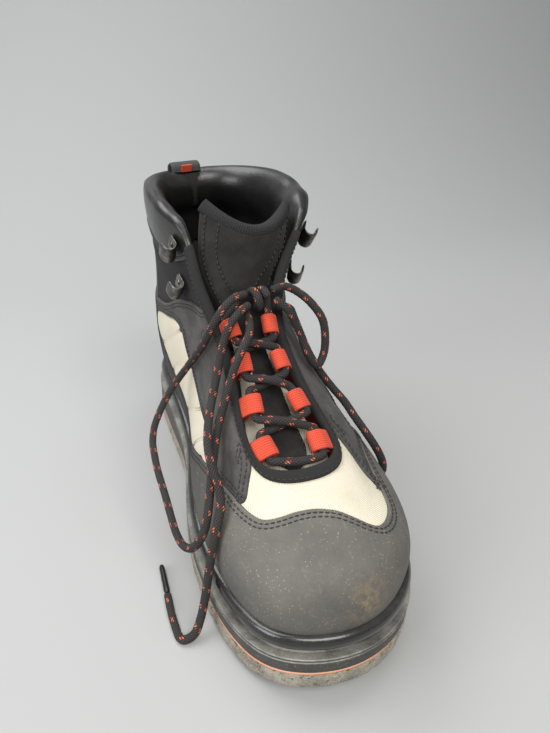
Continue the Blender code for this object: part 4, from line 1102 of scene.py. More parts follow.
def woven(name, dark, light, pitch, depth=0.00012):
    """Plain woven textile with threads a pitch apart, in millimetres on the UV map."""
    made, tree, sockets = finish_named(name, Roughness=0.9, IOR=1.5)
    turns = add(tree, "VectorMath", add(tree, "TexCoord", out="UV"), Scale=2 * math.pi / pitch,
                operation="SCALE")
    warp, weft, _ = add(tree, "SeparateXYZ", add(tree, "VectorMath", turns, operation="SINE")).node.outputs
    threads = add(tree, "Math", warp, weft, operation="MULTIPLY")
    lint = add(tree, "TexNoise", add(tree, "TexCoord", out="Object"), 700.0, 3.0, 0.7)
    shade = add(tree, "MapRange", add(tree, "Math", lint, 0.8, threads, operation="MULTIPLY_ADD"), -0.6,
                1.4)
    add(tree, "Mix", shade, dark, light, data_type="RGBA", to=sockets["Base Color"])
    add(tree, "Bump", Height=threads, Distance=depth, to=sockets["Normal"])
    return made


leather_material, nubuck_material, twill_material = coated_leather(), nubuck(), twill()
collar_material = synthetic_leather()
textile_material = woven("black_polyester_textile", "101011", "2A2A2B", 1.0)
lining_material = woven("red_mesh_lining", "5A1410", "93261C", 1.6)
binding_material = woven("black_folded_binding", "101010", "2B2A2A", 0.9)
print("upper finishes:", leather_material.name, nubuck_material.name, twill_material.name,
      collar_material.name)

# %% [markdown]
# The base shell is the boot's real wall, open at the top and underneath. Its outside shows
# only in the gaps between panels. Its inside is the lining, red by the throat, else black.

# %% Base shell
ROUND_STATIONS = np.arange(330) / 330 * STATIONS
outer_places = np.concatenate([np.linspace(0, 0.76, 22), np.linspace(0.79, 1.0, 16)])
inner_places = np.concatenate([np.linspace(1.0, 0.78, 14), np.linspace(0.74, 0.0, 18)])
outside = skin(ROUND_STATIONS[None], outer_places[:, None], -0.25 * mm)
within = skin(ROUND_STATIONS[None], inner_places[:, None], 0.0, inside=True)
rings = np.concatenate([outside, within])
faces, r, c = lay(len(rings), len(ROUND_STATIONS), wrap_rows=True, wrap_columns=True)
shell_uv = np.stack([c * 2.4, np.concatenate([outer_places, inner_places, [0]])[r] * WAY_UP / mm], -1)
# The red lining shows by the throat only; further back the shaft is lined with black textile
by_throat = np.minimum(ROUND_STATIONS, STATIONS - ROUND_STATIONS) < 7.6
slots = ((np.arange(len(rings)) >= len(outer_places) - 1)[:, None] & by_throat[None]).astype(int).ravel()
shell = piece("upper_shell_and_lining", rings, faces, [textile_material, lining_material], shell_uv, slots,
              sharp=50)
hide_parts("upper")
print("shell:", len(shell.data.polygons), "faces")

# %% [markdown]
# One low wall of coated leather runs round the boot and rises to a cap over the toes. The
# counter lies on it round the heel.

# %% Toe cap, rand and heel counter
# Upper border of the low wall, from the medial heel seam round the toe to the lateral one
CAP_TOP = (
    (-8.9, 0.30), (-8.0, 0.27), (-7.0, 0.245), (-6.0, 0.235), (-5.35, 0.245), (-4.95, 0.29),
    (-4.42, 0.395), (-3.93, 0.475), (-3.4, 0.53), (-2.9, 0.575), (-2.56, 0.590), (-2.13, 0.605),
    (-1.70, 0.622), (-1.10, 0.670), (-0.53, 0.710), (-0.03, 0.710), (0.47, 0.665), (0.87, 0.585),
    (1.10, 0.520), (1.30, 0.475), (1.56, 0.458), (1.90, 0.452), (2.26, 0.450), (2.60, 0.475),
    (3.1, 0.52), (3.5, 0.52), (3.93, 0.475), (4.42, 0.395), (4.95, 0.29), (5.35, 0.245),
    (6.0, 0.235), (7.0, 0.245), (8.0, 0.27), (8.9, 0.30),
)


def sewn_edge(edge, station, place):
    """Relief of an edge with two rows of stitches: each row pulls the leather down a little."""
    rows = sum(np.exp(-((edge - d * mm) / (0.55 * mm)) ** 2) for d in (2.2, 4.4))
    return -0.22 * mm * rows


cap, cap_borders = panel(
    "coated_toe_cap_and_rand", {"bottom": ((-8.9, 0.0), (8.9, 0.0)), "top": CAP_TOP}, leather_material,
    relief=sewn_edge,
)
_, counter_borders = panel(
    "coated_heel_counter",
    {"bottom": ((8.75, 0.0), (13.25, 0.0)),
     "top": ((8.75, 0.44), (9.6, 0.47), (11.0, 0.475), (12.4, 0.47), (13.25, 0.44))},
    leather_material, level=OVERLAY + 0.5 * mm, relief=sewn_edge,
)
print("toe cap and rand:", len(cap.data.polygons), "faces")

# %% [markdown]
# The cream twill is lightly padded, so it swells a little between its seams. Slanted rows of
# quilting draw it in again on the quarters.

# %% Vamp and quarters
VAMP = {
    "bottom": CAP_TOP[10:24],
    "top": ((-1.76, 1.0), (2.32, 1.0)),
    "left": ((-2.56, 0.590), (-2.30, 0.66), (-2.06, 0.765), (-1.80, 0.905), (-1.76, 1.0)),
    "right": ((2.60, 0.475), (2.62, 0.56), (2.46, 0.695), (2.36, 0.815), (2.32, 1.0)),
}


def vamp_puff(edge, station, place):
    return 0.5 * mm * (1 - np.exp(-edge / (5 * mm)))


panel("twill_vamp", VAMP, twill_material, level=0.15 * mm, rounding=0.6 * mm, relief=vamp_puff)
QUARTER_TOP = (
    (-8.9, 0.37), (-8.5, 0.42), (-7.76, 0.51), (-7.2, 0.585), (-6.85, 0.592), (-6.38, 0.54),
    (-5.68, 0.51), (-4.6, 0.56), (-4.2, 0.56), (-3.98, 0.50),
)
QUARTER_BOTTOM = CAP_TOP[:7] + ((-3.98, 0.46),)
# Shares of the quarter's lower and upper border at the two ends of each slanted quilting row
QUILT_ROWS = ((0.12, 0.42), (0.33, 0.54), (0.55, 0.76), (0.78, 0.94))


def mirrored(points):
    return tuple((-s, t) for s, t in points)


def quilting(points_low, points_high):
    """Lines of the quilting rows, from the quarter's lower border to its upper one."""
    bottom, top = drawn(points_low), drawn(points_high)
    up = np.linspace(0, 1, 120)[:, None]
    lines = []
    for low, high in QUILT_ROWS:
        share = low + (high - low) * up[:, 0]
        lines.append((1 - up) * at_share(bottom, share) + up * at_share(top, share))
    return lines


def quarter_puff(lines):
    """Relief of a lightly padded quarter, drawn in along its quilting rows."""
    def relief(edge, station, place):
        spots = np.stack([station, place], -1)[..., None, :] * PATTERN
        near = [np.linalg.norm(spots - line * PATTERN, axis=-1).min(-1) for line in lines]
        troughs = sum(np.exp(-(gap / (1.5 * mm)) ** 2) for gap in near)
        return 1.0 * mm * (1 - np.exp(-edge / (4 * mm))) - 0.85 * mm * troughs
    return relief


quilting_rows = {}
for word, turn_over in (("medial", tuple), ("lateral", mirrored)):
    low, high = turn_over(QUARTER_BOTTOM), turn_over(QUARTER_TOP)
    quilting_rows[word] = quilting(low, high)
    panel(
        f"quilted_quarter_{word}", {"bottom": low, "top": high}, twill_material,
        level=0.15 * mm, rounding=0.8 * mm, step=1.1 * mm, relief=quarter_puff(quilting_rows[word]),
    )
print("quilting rows:", len(QUILT_ROWS), "a side")

# %% [markdown]
# The eyestays carry the loops, so they are thick and lie over the twill. Above them stand the
# thin textile fronts of the shaft, and a nubuck panel closes the back.

# %% Eyestays, shaft fronts and back panel
# Where the eyestay's upper edge leaves the throat and runs back below the ankle
ANKLE_SEAM = (
    (-5.5, 1.0), (-5.76, 0.90), (-6.15, 0.83), (-6.55, 0.775), (-7.2, 0.685), (-8.0, 0.54),
    (-8.9, 0.45),
)
EYESTAY_LOW = ((-2.56, 0.590), (-2.9, 0.575), (-3.4, 0.53), (-3.93, 0.475)) + QUARTER_TOP[::-1]


def corner_line(first, second):
    """Two smooth lines joined at a sharp corner, as evenly spaced points."""
    both = np.vstack([drawn(first, 120), drawn(second, 120)[1:]])
    length = lengths(both * PATTERN, 0)
    even = np.linspace(0, length[-1], 300)
    return read_rows(even, length, both)


EYESTAY_MEDIAL = {
    "bottom": EYESTAY_LOW, "top": corner_line(((-1.76, 1.0), (-5.5, 1.0)), ANKLE_SEAM),
    "left": VAMP["left"], "right": ((-8.9, 0.37), (-8.9, 0.45)),
}
EYESTAY_LATERAL = {
    "bottom": ((2.60, 0.475), (3.1, 0.52), (3.5, 0.52), (3.93, 0.475)) + mirrored(EYESTAY_LOW[4:]),
    "top": corner_line(((2.32, 1.0), (5.5, 1.0)), mirrored(ANKLE_SEAM)),
    "left": VAMP["right"], "right": ((8.9, 0.37), (8.9, 0.45)),
}
eyestays = {
    "medial": panel("nubuck_eyestay_medial", EYESTAY_MEDIAL, nubuck_material, relief=sewn_edge)[1],
    "lateral": panel("nubuck_eyestay_lateral", EYESTAY_LATERAL, nubuck_material, relief=sewn_edge)[1],
}
SHAFT = {
    "bottom": ((-5.56, 0.99), (-5.8, 0.905), (-6.18, 0.835), (-6.6, 0.78), (-7.25, 0.69), (-8.0, 0.55),
               (-9.2, 0.44)),
    "top": ((-5.7, 0.997), (-6.62, 0.995), (-7.3, 0.86), (-9.2, 0.80)),
}
for word, turn_over in (("medial", tuple), ("lateral", mirrored)):
    panel(f"textile_shaft_front_{word}", {k: turn_over(v) for k, v in SHAFT.items()}, textile_material,
          level=0.7 * mm)
panel(
    "nubuck_back_panel",
    {"bottom": ((8.75, 0.30), (9.3, 0.44), (11.0, 0.46), (12.7, 0.44), (13.25, 0.30)),
     "top": ((8.75, 0.80), (11.0, 0.79), (13.25, 0.80))},
    nubuck_material, level=0.9 * mm,
)

print("eyestays:", *eyestays)

# %% [markdown]
# The padded collar is a soft roll. It starts behind the throat, passes over the rim and ends
# inside, a little above the ankle. A notch is pinched in at the heel; small creases lie by its ends.

# %% Padded collar
# Station of the leather's front ends, place of its foot, how much deeper it reaches inside, its edge
COLLAR_ENDS, COLLAR_LOW, INSIDE_REACH, EDGE_ROLL = 6.62, 0.795, 2.1, 0.9 * mm


def collar():
    around = np.linspace(COLLAR_ENDS, STATIONS - COLLAR_ENDS, 300)
    from_end = np.minimum(around - COLLAR_ENDS, STATIONS - COLLAR_ENDS - around)
    low = COLLAR_LOW + 0.17 * np.exp(-from_end / 0.55)
    rows = []
    for share in np.concatenate([[0, 0.02, 0.05], np.linspace(0.12, 1.0, 15)]):
        tuck = EDGE_ROLL * math.sqrt(max(0.0, 1 - (1 - min(1.0, share / 0.06)) ** 2))
        rows.append(skin(around, low + (1 - low) * share, tuck))
    rim_outer, rim_inner = rows[-1], skin(around, 1.0, -EDGE_ROLL, inside=True)
    top = (rim_outer + rim_inner) / 2 + [0, 0, 1.5 * mm]
    rows += [rim_outer * 0.72 + rim_inner * 0.28 + [0, 0, 1.1 * mm], top,
             rim_outer * 0.28 + rim_inner * 0.72 + [0, 0, 1.1 * mm]]
    for share in np.concatenate([np.linspace(0, 0.9, 14), [0.96, 1.0]]):
        tuck = -EDGE_ROLL * math.sqrt(max(0.0, 1 - max(0.0, (share - 0.94) / 0.06) ** 2))
        rows.append(skin(around, 1.0 - (1 - low) * share * INSIDE_REACH, tuck, inside=True))
    points = np.array(rows)
    back = np.exp(-((around - 11) / 0.16) ** 2)[None, :, None]
    middle = points.mean(0, keepdims=True)
    points = points + (middle - points) * 0.10 * back
    finger = np.sin(around * 9.1 + 0.6 * np.sin(around * 3.7)) * np.exp(-((from_end - 0.9) / 0.9) ** 2)
    points = points + (points - middle) * 0.025 * finger[None, :, None]
    core = middle + (points - middle) * 0.6
    slab("padded_collar", points, core, collar_material)
    return around, low


collar_around, collar_low = collar()
print("collar reaches down to place", round(float(collar_low.min()), 2))

# %% [markdown]
# Two thin lines of piping lie in the seam at the collar's foot.

# %% Piping at the collar's foot
def piping(name, route, radius, finish, sides=12):
    """A round bar of one thickness along a route."""
    faces, r, c = tube_faces(len(route), sides)
    uv = tube_uv(c / sides * 2 * math.pi * radius / mm, lengths(route, 0)[r] / mm, sides)
    return piece(name, tube(route, np.full(len(route), radius), sides), faces, [finish], uv)


def collar_seam(lift):
    """Stations and places of a line a little above the collar's lower edge."""
    return np.stack([collar_around, collar_low + lift / WAY_UP], -1)


PIPING_RADIUS, PIPING_LIFTS = 0.75 * mm, (1.6 * mm, 4.4 * mm)
for number, lift in enumerate(PIPING_LIFTS, 1):
    seam_line = collar_seam(lift)
    route = skin(seam_line[:, 0], np.minimum(seam_line[:, 1], 0.999), PIPING_RADIUS)
    piping(f"collar_piping_{number}", route, PIPING_RADIUS, collar_material)

print("piping lines:", len(PIPING_LIFTS))

# %% [markdown]
# A folded black textile binding runs round the throat in one piece and covers the raw edges
# of panels and shell. It is swept from one cross-section, a narrow U over the wall's edge.

# %% Throat binding
BINDING_HALF = 6.66


def throat_binding():
    station = np.linspace(-BINDING_HALF, BINDING_HALF, 420)
    outer, inner, out = skin(station, 1.0, OVERLAY), skin(station, 1.0, inside=True), skin_out(station, 1.0)
    per_metre = 0.02 / np.linalg.norm(skin(station, 1.0) - skin(station, 0.98), axis=1)
    rise = unit(np.cross(out, np.gradient(outer, axis=0)))
    rows = [skin(station, 1 - per_metre * d * mm, OVERLAY + h * mm) for d, h in
            ((5.9, -0.2), (5.8, 0.5), (5.4, 0.85), (4.2, 0.95), (3.0, 0.95), (1.6, 1.0))]
    half = (outer - inner) / 2 + out * 1.0 * mm
    for angle in np.radians((8, 35, 62, 90, 118, 145, 172)):
        rows.append((outer + inner) / 2 + half * math.cos(angle) + rise * 1.7 * mm * math.sin(angle))
    tucked = ((1.6, 0.9), (4.5, 0.9), (5.4, 0.2))
    rows += [skin(station, 1 - per_metre * d * mm, -h * mm, inside=True) for d, h in tucked]
    rows = np.array(rows)
    faces, r, c = lay(len(rows), len(station), wrap_rows=True)
    uv = grid_uv(np.concatenate([rows, rows[:1]]), r, c)
    caps = [np.arange(len(rows)) * len(station), np.arange(len(rows)) * len(station) + len(station) - 1]
    uv = np.concatenate([uv.reshape(-1, 2), np.zeros((2 * len(rows), 2))])
    made = piece("folded_throat_binding", rows, list(faces) + caps, [binding_material], uv)
    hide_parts("throat_binding")
    return station, per_metre


binding_station, binding_share = throat_binding()
print("binding:", len(binding_station), "steps round the throat")

# %% [markdown]
# Eight loops of orange webbing carry the lace. Each is one strap, 11 mm wide, that comes out
# from behind the wall, goes round the lace and back. Cords woven along it show as ribs.

# %% Webbing loops
def webbing_finish(name, dark, light):
    # Woven nylon webbing: lengthwise cords 1.25 mm apart with short picks between, a low sheen
    made, tree, sockets = finish_named(name, Roughness=0.7, IOR=1.53, Sheen_Weight=0.1)
    cloth = add(tree, "TexCoord", out="UV")
    waves = []
    for count in ((math.pi / 1.25, 0.0, 0.0), (math.pi / 1.25, math.pi / 0.95, 0.0)):
        wave = add(tree, "Math", add(tree, "VectorMath", cloth, count, operation="DOT_PRODUCT"),
                   operation="SINE")
        waves.append(add(tree, "Math", add(tree, "Math", wave, operation="ABSOLUTE"), 0.55,
                         operation="POWER"))
    weave = add(tree, "Math", *waves, operation="MULTIPLY")
    share = add(tree, "MapRange", weave, 0.15, 0.85)
    add(tree, "Mix", share, dark, light, data_type="RGBA", to=sockets["Base Color"])
    add(tree, "Bump", Height=weave, Distance=0.00022, to=sockets["Normal"])
    return made


def strap(name, path, wide, sideways, thick, finish, replaced=None):
    """Flat webbing along a path; sideways is the direction of its width."""
    path = np.asarray(path)
    across = np.linspace(-0.5, 0.5, 28)
    way = np.gradient(path, axis=0)
    out = unit(np.cross(way, sideways))
    ribs = 0.10 * mm * np.abs(np.sin(np.pi * across * wide / (1.25 * mm)))
    edge = np.sqrt(np.clip(1 - (np.abs(across) * 2) ** 10, 0, 1))
    half = (thick / 2 * edge + ribs * edge)[None, :, None] * out[:, None]
    middle = path[:, None] + (across * wide)[None, :, None] * sideways
    made = slab(name, middle + half, middle - half, finish)
    if replaced:
        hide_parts(replaced)
    return made


orange_material = webbing_finish("orange_nylon_webbing", "9A2410", "E04B26")
dark_webbing_material = webbing_finish("dark_nylon_webbing", "121212", "333232")
# A flattened loop: half its length up the boot, half its height, and how far it sags
LOOP_LONG, LOOP_HIGH, LOOP_DROP = 0.0047, 0.0034, 0.0004
for side, word in ((1, "lateral"), (-1, "medial")):
    for number, station in enumerate(LOOP_STATIONS, 1):
        eye, out, up_way, toe = eye_frame(station, side)
        profile = [(-0.0112, -0.0060), (-0.0082, -0.0056), (-0.0062, -0.0044)]
        turns = np.radians(np.linspace(-135, 140, 13))
        profile += [(LOOP_LONG * math.cos(a), LOOP_HIGH * math.sin(a) - LOOP_DROP) for a in turns]
        profile += [(-0.0062, 0.0002), (-0.0082, -0.0028), (-0.0112, -0.0046)]
        profile = curve_through(profile, 64)
        route = eye + profile[:, :1] * up_way + profile[:, 1:] * out
        strap(f"ribbed_loop_{word}_{number}", route, WEBBING_WIDTH, toe, WEBBING, orange_material,
              f"webbing_loop_{word}_{number}")

print("webbing loops:", 2 * len(LOOP_STATIONS))

# %% [markdown]
# The tongue is a padded sheet under the laces. Its sides are the cream gusset, which keeps
# gravel out, and a dark suede overlay with a rounded tip lies on its middle. Near the top a
# bare patch is stitched on in the shape of a U. A ribbed knit band closes its upper edge.

# %% Tongue
TONGUE_ROWS = (
    (1.2, 0.86, 0.057, 0.057, 0.0, 0.0, 0.006, 0.004), (2.0, 0.92, 0.057, 0.057, 0.0, 0.0, 0.014, 0.016),
    (2.9, 0.93, 0.057, 0.057, 0.0, 0.0, 0.016, 0.020), (3.8, 0.93, 0.057, 0.057, 0.0, 0.0, 0.016, 0.020),
    (4.7, 0.93, 0.057, 0.057, 0.0, 0.0, 0.011, 0.012), (5.4, 0.94, 0.050, 0.045, 0.0, 0.0, 0.009, 0.006),
    (6.0, 0.95, 0.034, 0.026, 0.0, 0.0, 0.030, 0.008), (6.55, 0.95, 0.024, 0.026, 0.0, 0.0, 0.068, -0.005),
    (6.75, 0.95, 0.024, 0.036, 0.036, 0.060, 0.088, -0.035),
    (6.9, 0.95, 0.024, 0.052, 0.080, 0.127, 0.102, -0.071),
)
TONGUE_THICKNESS = 0.0055
TONGUE_FINE_ROWS = 150
tongue_table = []
for station, place, lateral_in, medial_in, lateral_up, medial_up, forward, rise in TONGUE_ROWS:
    ends = []
    for side, tucked, lift in ((1, lateral_in, lateral_up), (-1, medial_in, medial_up)):
        _, inner, out, _, _ = wall_place(station, place, side)
        ends.append(inner + ([0, 0, lift] - out * tucked) * UPPER_HEIGHT)
    tongue_table.append([*ends[0], *ends[1], forward * UPPER_HEIGHT, rise * UPPER_HEIGHT])
tongue_table = curve_through(tongue_table, TONGUE_FINE_ROWS)


def tongue_sheet(width_shares, rows):
    """Middle of the tongue and its upward normal at shares of its width (rows or a full grid)."""
    g = np.broadcast_to(width_shares, (len(rows), np.shape(width_shares)[-1]))[..., None]
    t = at_share(tongue_table, rows)[:, None]
    middle = t[..., :3] * (1 - g) + t[..., 3:6] * g
    bow = 4 * g * (1 - g)
    return middle + bow * np.concatenate([0 * t[..., :1], -t[..., 6:7], t[..., 7:8]], -1)


def upward(grid):
    normal = unit(np.cross(np.gradient(grid, axis=1), np.gradient(grid, axis=0)))
    return normal * np.sign(normal[len(grid) // 3, grid.shape[1] // 2, 2])


def softness(across, along):
    """How thick the padding is: thin at the tongue's sides and at its lower end."""
    return (0.35 + 0.65 * (1 - (2 * across - 1) ** 4)) * np.minimum(1, 0.4 + along * 6)


def suede(name, dark, light):
    # Split suede: dead matt, short open nap, a little lint
    made, tree, sockets = finish_named(name, Roughness=0.95, IOR=1.45, Sheen_Weight=0.06,
                                       Sheen_Roughness=0.45)
    place = add(tree, "TexCoord", out="Object")
    cloud = add(tree, "MapRange", add(tree, "TexNoise", place, 90.0, 5.0, 0.6), 0.35, 0.70)
    fine = add(tree, "TexNoise", place, 1300.0, 3.0, 0.75)
    nap = add(tree, "Mix", cloud, dark, light, data_type="RGBA")
    add(tree, "Mix", add(tree, "MapRange", fine, 0.66, 0.72, 0.0, 0.6), nap, "6B6A69", data_type="RGBA",
        to=sockets["Base Color"])
    add(tree, "Bump", Height=fine, Distance=0.00010, to=sockets["Normal"])
    return made


suede_material = suede("black_split_suede", "171616", "292726")
knit_material = woven("black_rib_knit", "0E0E0F", "2C2C2D", 1.1, depth=0.0002)
g = np.linspace(0, 1, 61)
v = np.linspace(0, 1, TONGUE_FINE_ROWS)
sheet_middle = tongue_sheet(g, v)
sheet_normal = upward(sheet_middle)
soft = softness(g, v[:, None])
half = (soft * TONGUE_THICKNESS / 2)[..., None] * sheet_normal
CREAM_ENDS = 0.60
base = slab("tongue_padding_and_gusset", sheet_middle + half, sheet_middle - half, twill_material)
base.data.materials.append(suede_material)
centres = np.zeros(len(base.data.polygons) * 3)
base.data.polygons.foreach_get("center", centres)
cut = sheet_middle[int(CREAM_ENDS * TONGUE_FINE_ROWS)]
beyond = (centres.reshape(-1, 3) - cut[30]) @ (sheet_middle[-1, 30] - cut[30]) > 0
base.data.polygons.foreach_set("material_index", beyond.astype(np.int32))
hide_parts("tongue")
print("tongue:", round(float(lengths(sheet_middle[:, 30], 0)[-1] / mm)), "mm along its middle")

# %% [markdown]
# A suede overlay lies down the middle of the tongue. It carries a raised patch, left bare.

# %% Overlay and patch on the tongue
OVERLAY_TIP = 0.055
# The tongue's width and length, for distances on it
TONGUE_WIDE, TONGUE_LONG = 0.062, 0.135
PATCH_LOW, PATCH_RAISED = 0.675, 0.5 * mm
PATCH_SCALE, PATCH_SEAM_SCALE = np.array([0.06, 0.12]), np.array([0.055, 0.12])
PATCH_LINE = (
    (0.86, 1.0), (0.86, 0.90), (0.83, 0.80), (0.74, 0.71), (0.52, PATCH_LOW), (0.31, 0.71), (0.22, 0.80),
    (0.18, 0.90), (0.17, 1.0)
)
patch_line = curve_through(np.array(PATCH_LINE) * PATCH_SCALE, 240) / PATCH_SCALE


def overlay_half(rows):
    """Half the overlay's width at shares of the tongue's length."""
    return (0.23 + 0.25 * ramp(rows, 0.46, 0.60)) * rounded(rows - OVERLAY_TIP, 0.09)


def overlay_grid(w, rows):
    """Points and normals on the tongue's upper face; w runs from -1 to 1 across the overlay."""
    grid = tongue_sheet(0.5 + w * overlay_half(rows)[:, None], rows)
    share = 0.5 + w * overlay_half(rows)[:, None]
    pad = softness(share, rows[:, None])
    normal = np.broadcast_to(upward(tongue_sheet(np.linspace(0.3, 0.7, w.size), rows)), grid.shape)
    return grid, normal, pad * TONGUE_THICKNESS / 2, share


w = np.concatenate([[-1, -0.992, -0.975, -0.95], np.linspace(-0.91, 0.91, 53), [0.95, 0.975, 0.992, 1]])
spacing = np.concatenate([[0.0004, 0.002, 0.005, 0.01], np.linspace(0.016, 1, 130)])
rows = OVERLAY_TIP + (0.992 - OVERLAY_TIP) * spacing
grid, normal, pad, share = overlay_grid(w, rows)
from_side = np.minimum(1 - np.abs(w)[None] * np.ones((len(rows), 1)), 1) * 0.022
from_tip = (rows - rows[0])[:, None] * 0.13 + 0 * w[None]
edge = np.minimum(from_side, from_tip)
roll = rounded(edge, 1.0 * mm)
sideways = (share[..., None] - patch_line[:, 0]) * TONGUE_WIDE
lengthways = (rows[:, None, None] - patch_line[:, 1]) * TONGUE_LONG
away = np.hypot(sideways, lengthways).min(-1)
lowest = patch_line[:, 1].argmin()
inside_patch = share > np.interp(rows, patch_line[lowest:, 1], patch_line[lowest:, 0])[:, None]
inside_patch &= share < np.interp(rows, patch_line[lowest::-1, 1], patch_line[lowest::-1, 0])[:, None]
inside_patch &= rows[:, None] > PATCH_LOW
raised = np.where(inside_patch, np.clip(away / (0.8 * mm), 0, 1), 0) * PATCH_RAISED
thick = (1.1 * mm * roll + raised - 0.15 * mm)[..., None]
slab("tongue_suede_overlay", grid + normal * (pad[..., None] + thick),
     grid + normal * (pad[..., None] - 0.5 * mm), suede_material)
print("overlay:", round(float(2 * overlay_half(rows).max() * TONGUE_WIDE / mm)), "mm at its widest")

# %% [markdown]
# A folded band of ribbed knit binds the tongue's top edge.

# %% Ribbed band on the tongue
KNIT_HALF_WIDTH = 4.0 * mm


def knit_band():
    """A folded ribbed band, 8 mm wide, over the tongue's top edge; its ribs run across it."""
    along_top = unit(np.gradient(sheet_middle[-1], axis=0))
    way = sheet_middle[-1] - sheet_middle[-6]
    way -= along_top * (way * along_top).sum(1, keepdims=True)
    way /= np.linalg.norm(way, axis=1, keepdims=True)
    rail = np.column_stack([sheet_middle[-1] + way * 1.3 * mm, way, sheet_normal[-1],
                            soft[-1] * TONGUE_THICKNESS / 2 + 1.5 * mm])
    rail = at_share(rail, np.linspace(0, 1, 260))
    around = np.linspace(0, 2 * np.pi, 28, endpoint=False)
    ribs = 1 + 0.05 * np.sin(lengths(rail[:, :3], 0) / (1.3 * mm) * 2 * np.pi)
    reach = np.sign(np.cos(around)) * np.abs(np.cos(around)) ** 0.8 * KNIT_HALF_WIDTH
    rings = rail[:, None, :3] + reach[:, None] * rail[:, None, 3:6]
    rings = rings + (np.sin(around) * (rail[:, 9] * ribs)[:, None])[..., None] * rail[:, None, 6:9]
    faces, r, c = tube_faces(len(rail), len(around))
    uv = tube_uv(c * 0.7, lengths(rail[:, :3], 0)[r] / mm, len(around))
    made = piece("ribbed_knit_band", rings, faces, [knit_material], uv)
    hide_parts("tongue_binding")


knit_band()
print("knit band:", round(2 * KNIT_HALF_WIDTH / mm, 1), "mm wide")

# %% [markdown]
# The speed hooks are stamped from thin steel with a dark gunmetal plating: a plate on the
# shaft, held by a rivet, and a lip that curls over the lace.

# %% Hooks
def gunmetal():
    made, tree, sockets = finish_named("gunmetal_plated_steel", Metallic=1.0, Roughness=0.36)
    place = add(tree, "TexCoord", out="Object")
    worn = add(tree, "MapRange", add(tree, "TexNoise", place, 240.0, 4.0, 0.6), 0.42, 0.72)
    add(tree, "Mix", worn, "5B5955", "97948C", data_type="RGBA", to=sockets["Base Color"])
    add(tree, "Bump", Height=add(tree, "TexNoise", place, 600.0, 3.0), Distance=0.00004,
        to=sockets["Normal"])
    return made


metal = gunmetal()
HOOK_PLACES = ((7.15, 0.93), (6.85, 0.81))
HOOK_WIDTH, HOOK_SHEET, HOOK_SPREAD = 0.0118, 0.0012, (0.22, 0.045)
HOOK_STRIP = ((-4.6, 0.0), (3.2, 0.0), (5.6, 1.3), (6.8, 3.6), (6.2, 6.2), (3.8, 7.8), (-1.2, 8.2))


def hook(number, word, side, station, place):
    outer, _, out, up_way, toe = wall_place(station, place, side)
    near_s, near_t = np.meshgrid(
        (station + np.linspace(-1, 1, 5) * HOOK_SPREAD[0]) * side,
        place + np.linspace(-1, 1, 5) * HOOK_SPREAD[1]
    )
    start = outer + out * (((skin(near_s, near_t, OVERLAY) - outer) @ out).max() + HOOK_SHEET / 2 + GAP)
    bend = np.array(HOOK_STRIP) * mm
    path = np.vstack([np.linspace(bend[0], bend[1], 8)[:-1], curve_through(bend[1:], 26)])
    across = np.linspace(-0.5, 0.5, 15)
    ease = np.clip(np.minimum(lengths(path, 0), lengths(path, 0)[-1] - lengths(path, 0)) / (1.6 * mm), 0, 1)
    wide = HOOK_WIDTH * (0.72 + 0.28 * np.sqrt(1 - (1 - ease) ** 2))
    way = unit(np.gradient(path, axis=0))
    normal = way[:, :1] * out - way[:, 1:] * toe
    middle = start + path[:, :1] * toe + path[:, 1:] * out
    grid = middle[:, None] + (wide[:, None] * across)[..., None] * up_way
    rim = np.sqrt(np.clip(1 - (2 * np.abs(across)) ** 8, 0.05, 1))[None, :, None]
    half = normal[:, None] * HOOK_SHEET / 2 * rim
    made = slab(f"speed_hook_{word}_{number}", grid + half, grid - half, metal)
    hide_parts(f"lace_hook_{word}_{number}")
    head = start - toe * 1.2 * mm + out * HOOK_SHEET / 2
    rings = []
    for angle in np.radians((0, 25, 50, 75, 90)):
        ring_turn = np.linspace(0, 2 * np.pi, 24, endpoint=False)[:, None]
        rings.append(head + out * math.sin(angle) * 0.9 * mm + math.cos(angle) * 2.0 * mm
                     * (np.cos(ring_turn) * toe + np.sin(ring_turn) * up_way))
    faces, _, _ = lay(5, 24, wrap_columns=True)
    piece(f"hook_rivet_{word}_{number}", rings, list(faces) + [np.arange(24)], [metal], sharp=50)


for side, word in ((1, "lateral"), (-1, "medial")):
    for number, (station, place) in enumerate(HOOK_PLACES, 1):
        hook(number, word, side, station, place)

print("speed hooks:", 2 * len(HOOK_PLACES))

# %% [markdown]
# A strap of dark webbing is sewn over the rim at the heel, to pull the boot on by. A small
# orange tab marks its front.

# %% Pull loop over the heel
PULL_STATION, PULL_HALF_WIDTH, PULL_SHEET, PULL_RISE, PULL_FOOT = 11.15, 0.34, 0.0018, 0.0055, 0.86


def pull_path():
    places = np.array([PULL_FOOT, COLLAR_MIDDLE + 0.03, 1.0])
    outer, inner = skin(PULL_STATION, places, OVERLAY), skin(PULL_STATION, places, inside=True)
    out = unit(skin_out(PULL_STATION, places) * [1, 1, 0])
    clear = PULL_SHEET / 2 + 0.0012
    outer, inner = outer + out * clear, inner - out * clear
    top, side = (outer[2] + inner[2]) / 2, (outer[2] - inner[2]) / 2
    rise = np.array([0, 0, PULL_RISE])
    return [outer[0], outer[1], outer[2], top + side * 0.75 + rise * 0.7, top + rise,
            top - side * 0.75 + rise * 0.7, inner[2]]


